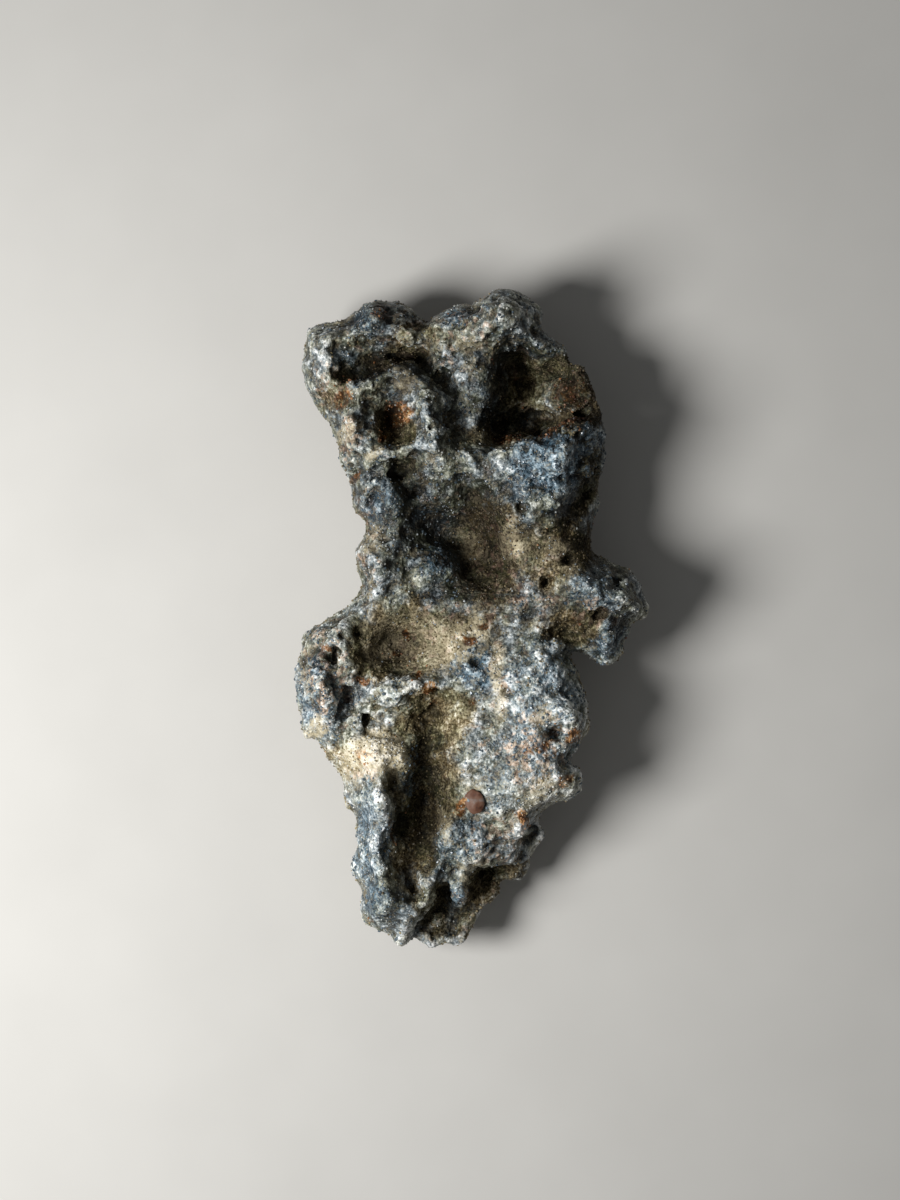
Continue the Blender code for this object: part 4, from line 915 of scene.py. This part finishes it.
def grainMaterial(kind):
    # Rounded quartz or glass grains: each has one tone, partly painted light and shade from where it sits,
    # a matt frosted skin and small stains.
    material, tree, shader, place = newMaterial(kind["material"], kind["ior"])
    tone = addNode(tree, "Attribute", {}, attribute_name="tone").outputs["Fac"]
    ramp = addNode(tree, "ValToRGB", {"Fac": tone}, stops=spaced((1 / 3, 2 / 3), kind["colours"]))
    stain = addNode(tree, "TexNoise", {"Vector": place, "Scale": 1 / (0.15 * mm), "Detail": 2})
    stain = addNode(tree, "MapRange", {
        "Value": stain, "From Min": 0.35, "From Max": 0.65, "To Min": 0.7, "To Max": 1.15})
    colour = addNode(tree, "Mix", {0: 1, 6: ramp, 7: stain}, data_type="RGBA", blend_type="MULTIPLY")
    plug(shader, {"Base Color": colour, "Roughness": kind["roughness"]})
    return material


for grainName, grainKind in grainKinds.items():
    scatterGrains(grainName, grainKind)

pebble = {  # caught in the crust at the groove's edge
    "middle": (0.4, -21.5), "half": (1.2, 1.45, 0.55), "proud": 0.13, "turn": 12, "dent": 0.16,
    "around": 64, "up": 32, "colours": ["#341b0d", "#58331e", "#664938", "#726660"],
}


def makePebble():
    # an ellipsoid, (a, b) being angles round and up it, with its radius changed by soft noise
    around, up = pebble["around"], pebble["up"]
    a, b = np.meshgrid(
        np.arange(around) * 2 * math.pi / around, np.linspace(-math.pi / 2, math.pi / 2, up),
        indexing="ij")
    ball = np.stack([np.cos(a) * np.cos(b), np.sin(a) * np.cos(b), np.sin(b)])
    ball = ball * (1 + pebble["dent"] * noise(*(ball * 3), 1.7, 121))
    ball = ball * np.reshape(pebble["half"], (3, 1, 1))
    turn = math.radians(pebble["turn"])
    x = ball[0] * math.cos(turn) - ball[1] * math.sin(turn) + pebble["middle"][0]
    y = ball[0] * math.sin(turn) + ball[1] * math.cos(turn) + pebble["middle"][1]
    level = frontHeight(*np.reshape(pebble["middle"], (2, 1)), np.full(1, 10.0))
    points = np.stack([x, y, ball[2] + level - pebble["half"][2] + 2 * pebble["proud"]], -1)
    # one shared point at each pole
    flat = np.concatenate([points[:, 1:-1].reshape(-1, 3), points[0, :1], points[0, -1:]])
    corner = np.arange(around * (up - 2)).reshape(around, up - 2)
    after = np.roll(corner, -1, axis=0)
    quads = np.stack([corner[:, :-1], after[:, :-1], after[:, 1:], corner[:, 1:]], -1).reshape(-1, 4)
    south, north = len(flat) - 2, len(flat) - 1
    caps = [(south, j, i) for i, j in zip(corner[:, 0], after[:, 0])]
    caps += [(north, i, j) for i, j in zip(corner[:, -1], after[:, -1])]
    mesh = bpy.data.meshes.new("pebble")
    mesh.from_pydata(flat * mm, [], [*quads.tolist(), *caps])
    mesh.shade_smooth()
    # Water-worn jasper: smooth and waxy, so it shows one soft sheen among the gritty grains.
    material, tree, shader, place = newMaterial("Red-brown jasper pebble", 1.54)
    cloud = addNode(tree, "TexNoise", {"Vector": place, "Scale": 1 / (0.9 * mm), "Detail": 5})
    stops = [(0.3 + 0.13 * number, code) for number, code in enumerate(pebble["colours"])]
    ramp = addNode(tree, "ValToRGB", {"Fac": cloud}, stops=stops)
    bump = addNode(tree, "Bump", {"Strength": 0.6, "Distance": 0.05 * mm, "Height": cloud})
    plug(shader, {"Base Color": ramp, "Roughness": 0.7, "Normal": bump})
    dressed("red_brown_pebble", mesh, material)
    print("pebble made")


makePebble()

stage = {  # a plain paper sweep, one soft key light, a pale sky and a long lens straight above
    "floorColours": ["#bab8b3", "#c4c2bd"], "floorSize": 3000, "skyColour": "#f2f4f6", "fill": 0.14,
    "keyFrom": (193, 49), "keyDistance": 240, "keySize": 100, "keyPower": 0.78,  # azimuth, elevation
    "lens": 85, "frameHeight": 144, "aim": (-2.58, 2.34, 8.6),
}


def makeFloor():
    half = stage["floorSize"] * mm / 2
    mesh = bpy.data.meshes.new("floor")
    corners = [(-half, -half, 0), (half, -half, 0), (half, half, 0), (-half, half, 0)]
    mesh.from_pydata(corners, [], [(0, 1, 2, 3)])
    material, tree, shader, place = newMaterial("Matt paper sweep", 1.5)
    mottle = addNode(tree, "TexNoise", {"Vector": place, "Scale": 60, "Detail": 3})
    ramp = addNode(tree, "ValToRGB", {"Fac": mottle}, stops=list(enumerate(stage["floorColours"])))
    plug(shader, {"Base Color": ramp, "Roughness": 0.9})
    mesh.materials.append(material)
    linked("floor", mesh)


def makeLight():
    light = bpy.data.lights.new("key", "AREA")
    light.shape, light.size, light.energy = "DISK", stage["keySize"] * mm, stage["keyPower"]
    a, e = (math.radians(angle) for angle in stage["keyFrom"])
    towards = Vector((math.cos(a) * math.cos(e), math.sin(a) * math.cos(e), math.sin(e)))
    key = linked("key", light)
    key.location = towards * stage["keyDistance"] * mm
    key.rotation_euler = towards.to_track_quat("Z", "Y").to_euler()
    world = bpy.data.worlds.new("studio")
    bpy.context.scene.world = world
    world.use_nodes = True
    sky = {"Color": linear(stage["skyColour"]), "Strength": stage["fill"]}
    plug(world.node_tree.nodes["Background"], sky)


def makeCamera():
    # straight above, with the frame's height set at the level of the rim
    camera = bpy.data.cameras.new("camera")
    camera.lens, camera.sensor_width = stage["lens"], 36
    camera.clip_start, camera.clip_end = 0.01, 20
    holder = linked("camera", camera)
    x, y, z = stage["aim"]
    distance = stage["frameHeight"] * stage["lens"] / camera.sensor_width
    holder.location = (x * mm, y * mm, (z + distance) * mm)
    bpy.context.scene.camera = holder
    bpy.context.scene.view_settings.view_transform = "Standard"


makeFloor()
makeLight()
makeCamera()
print("stage, light and camera set")
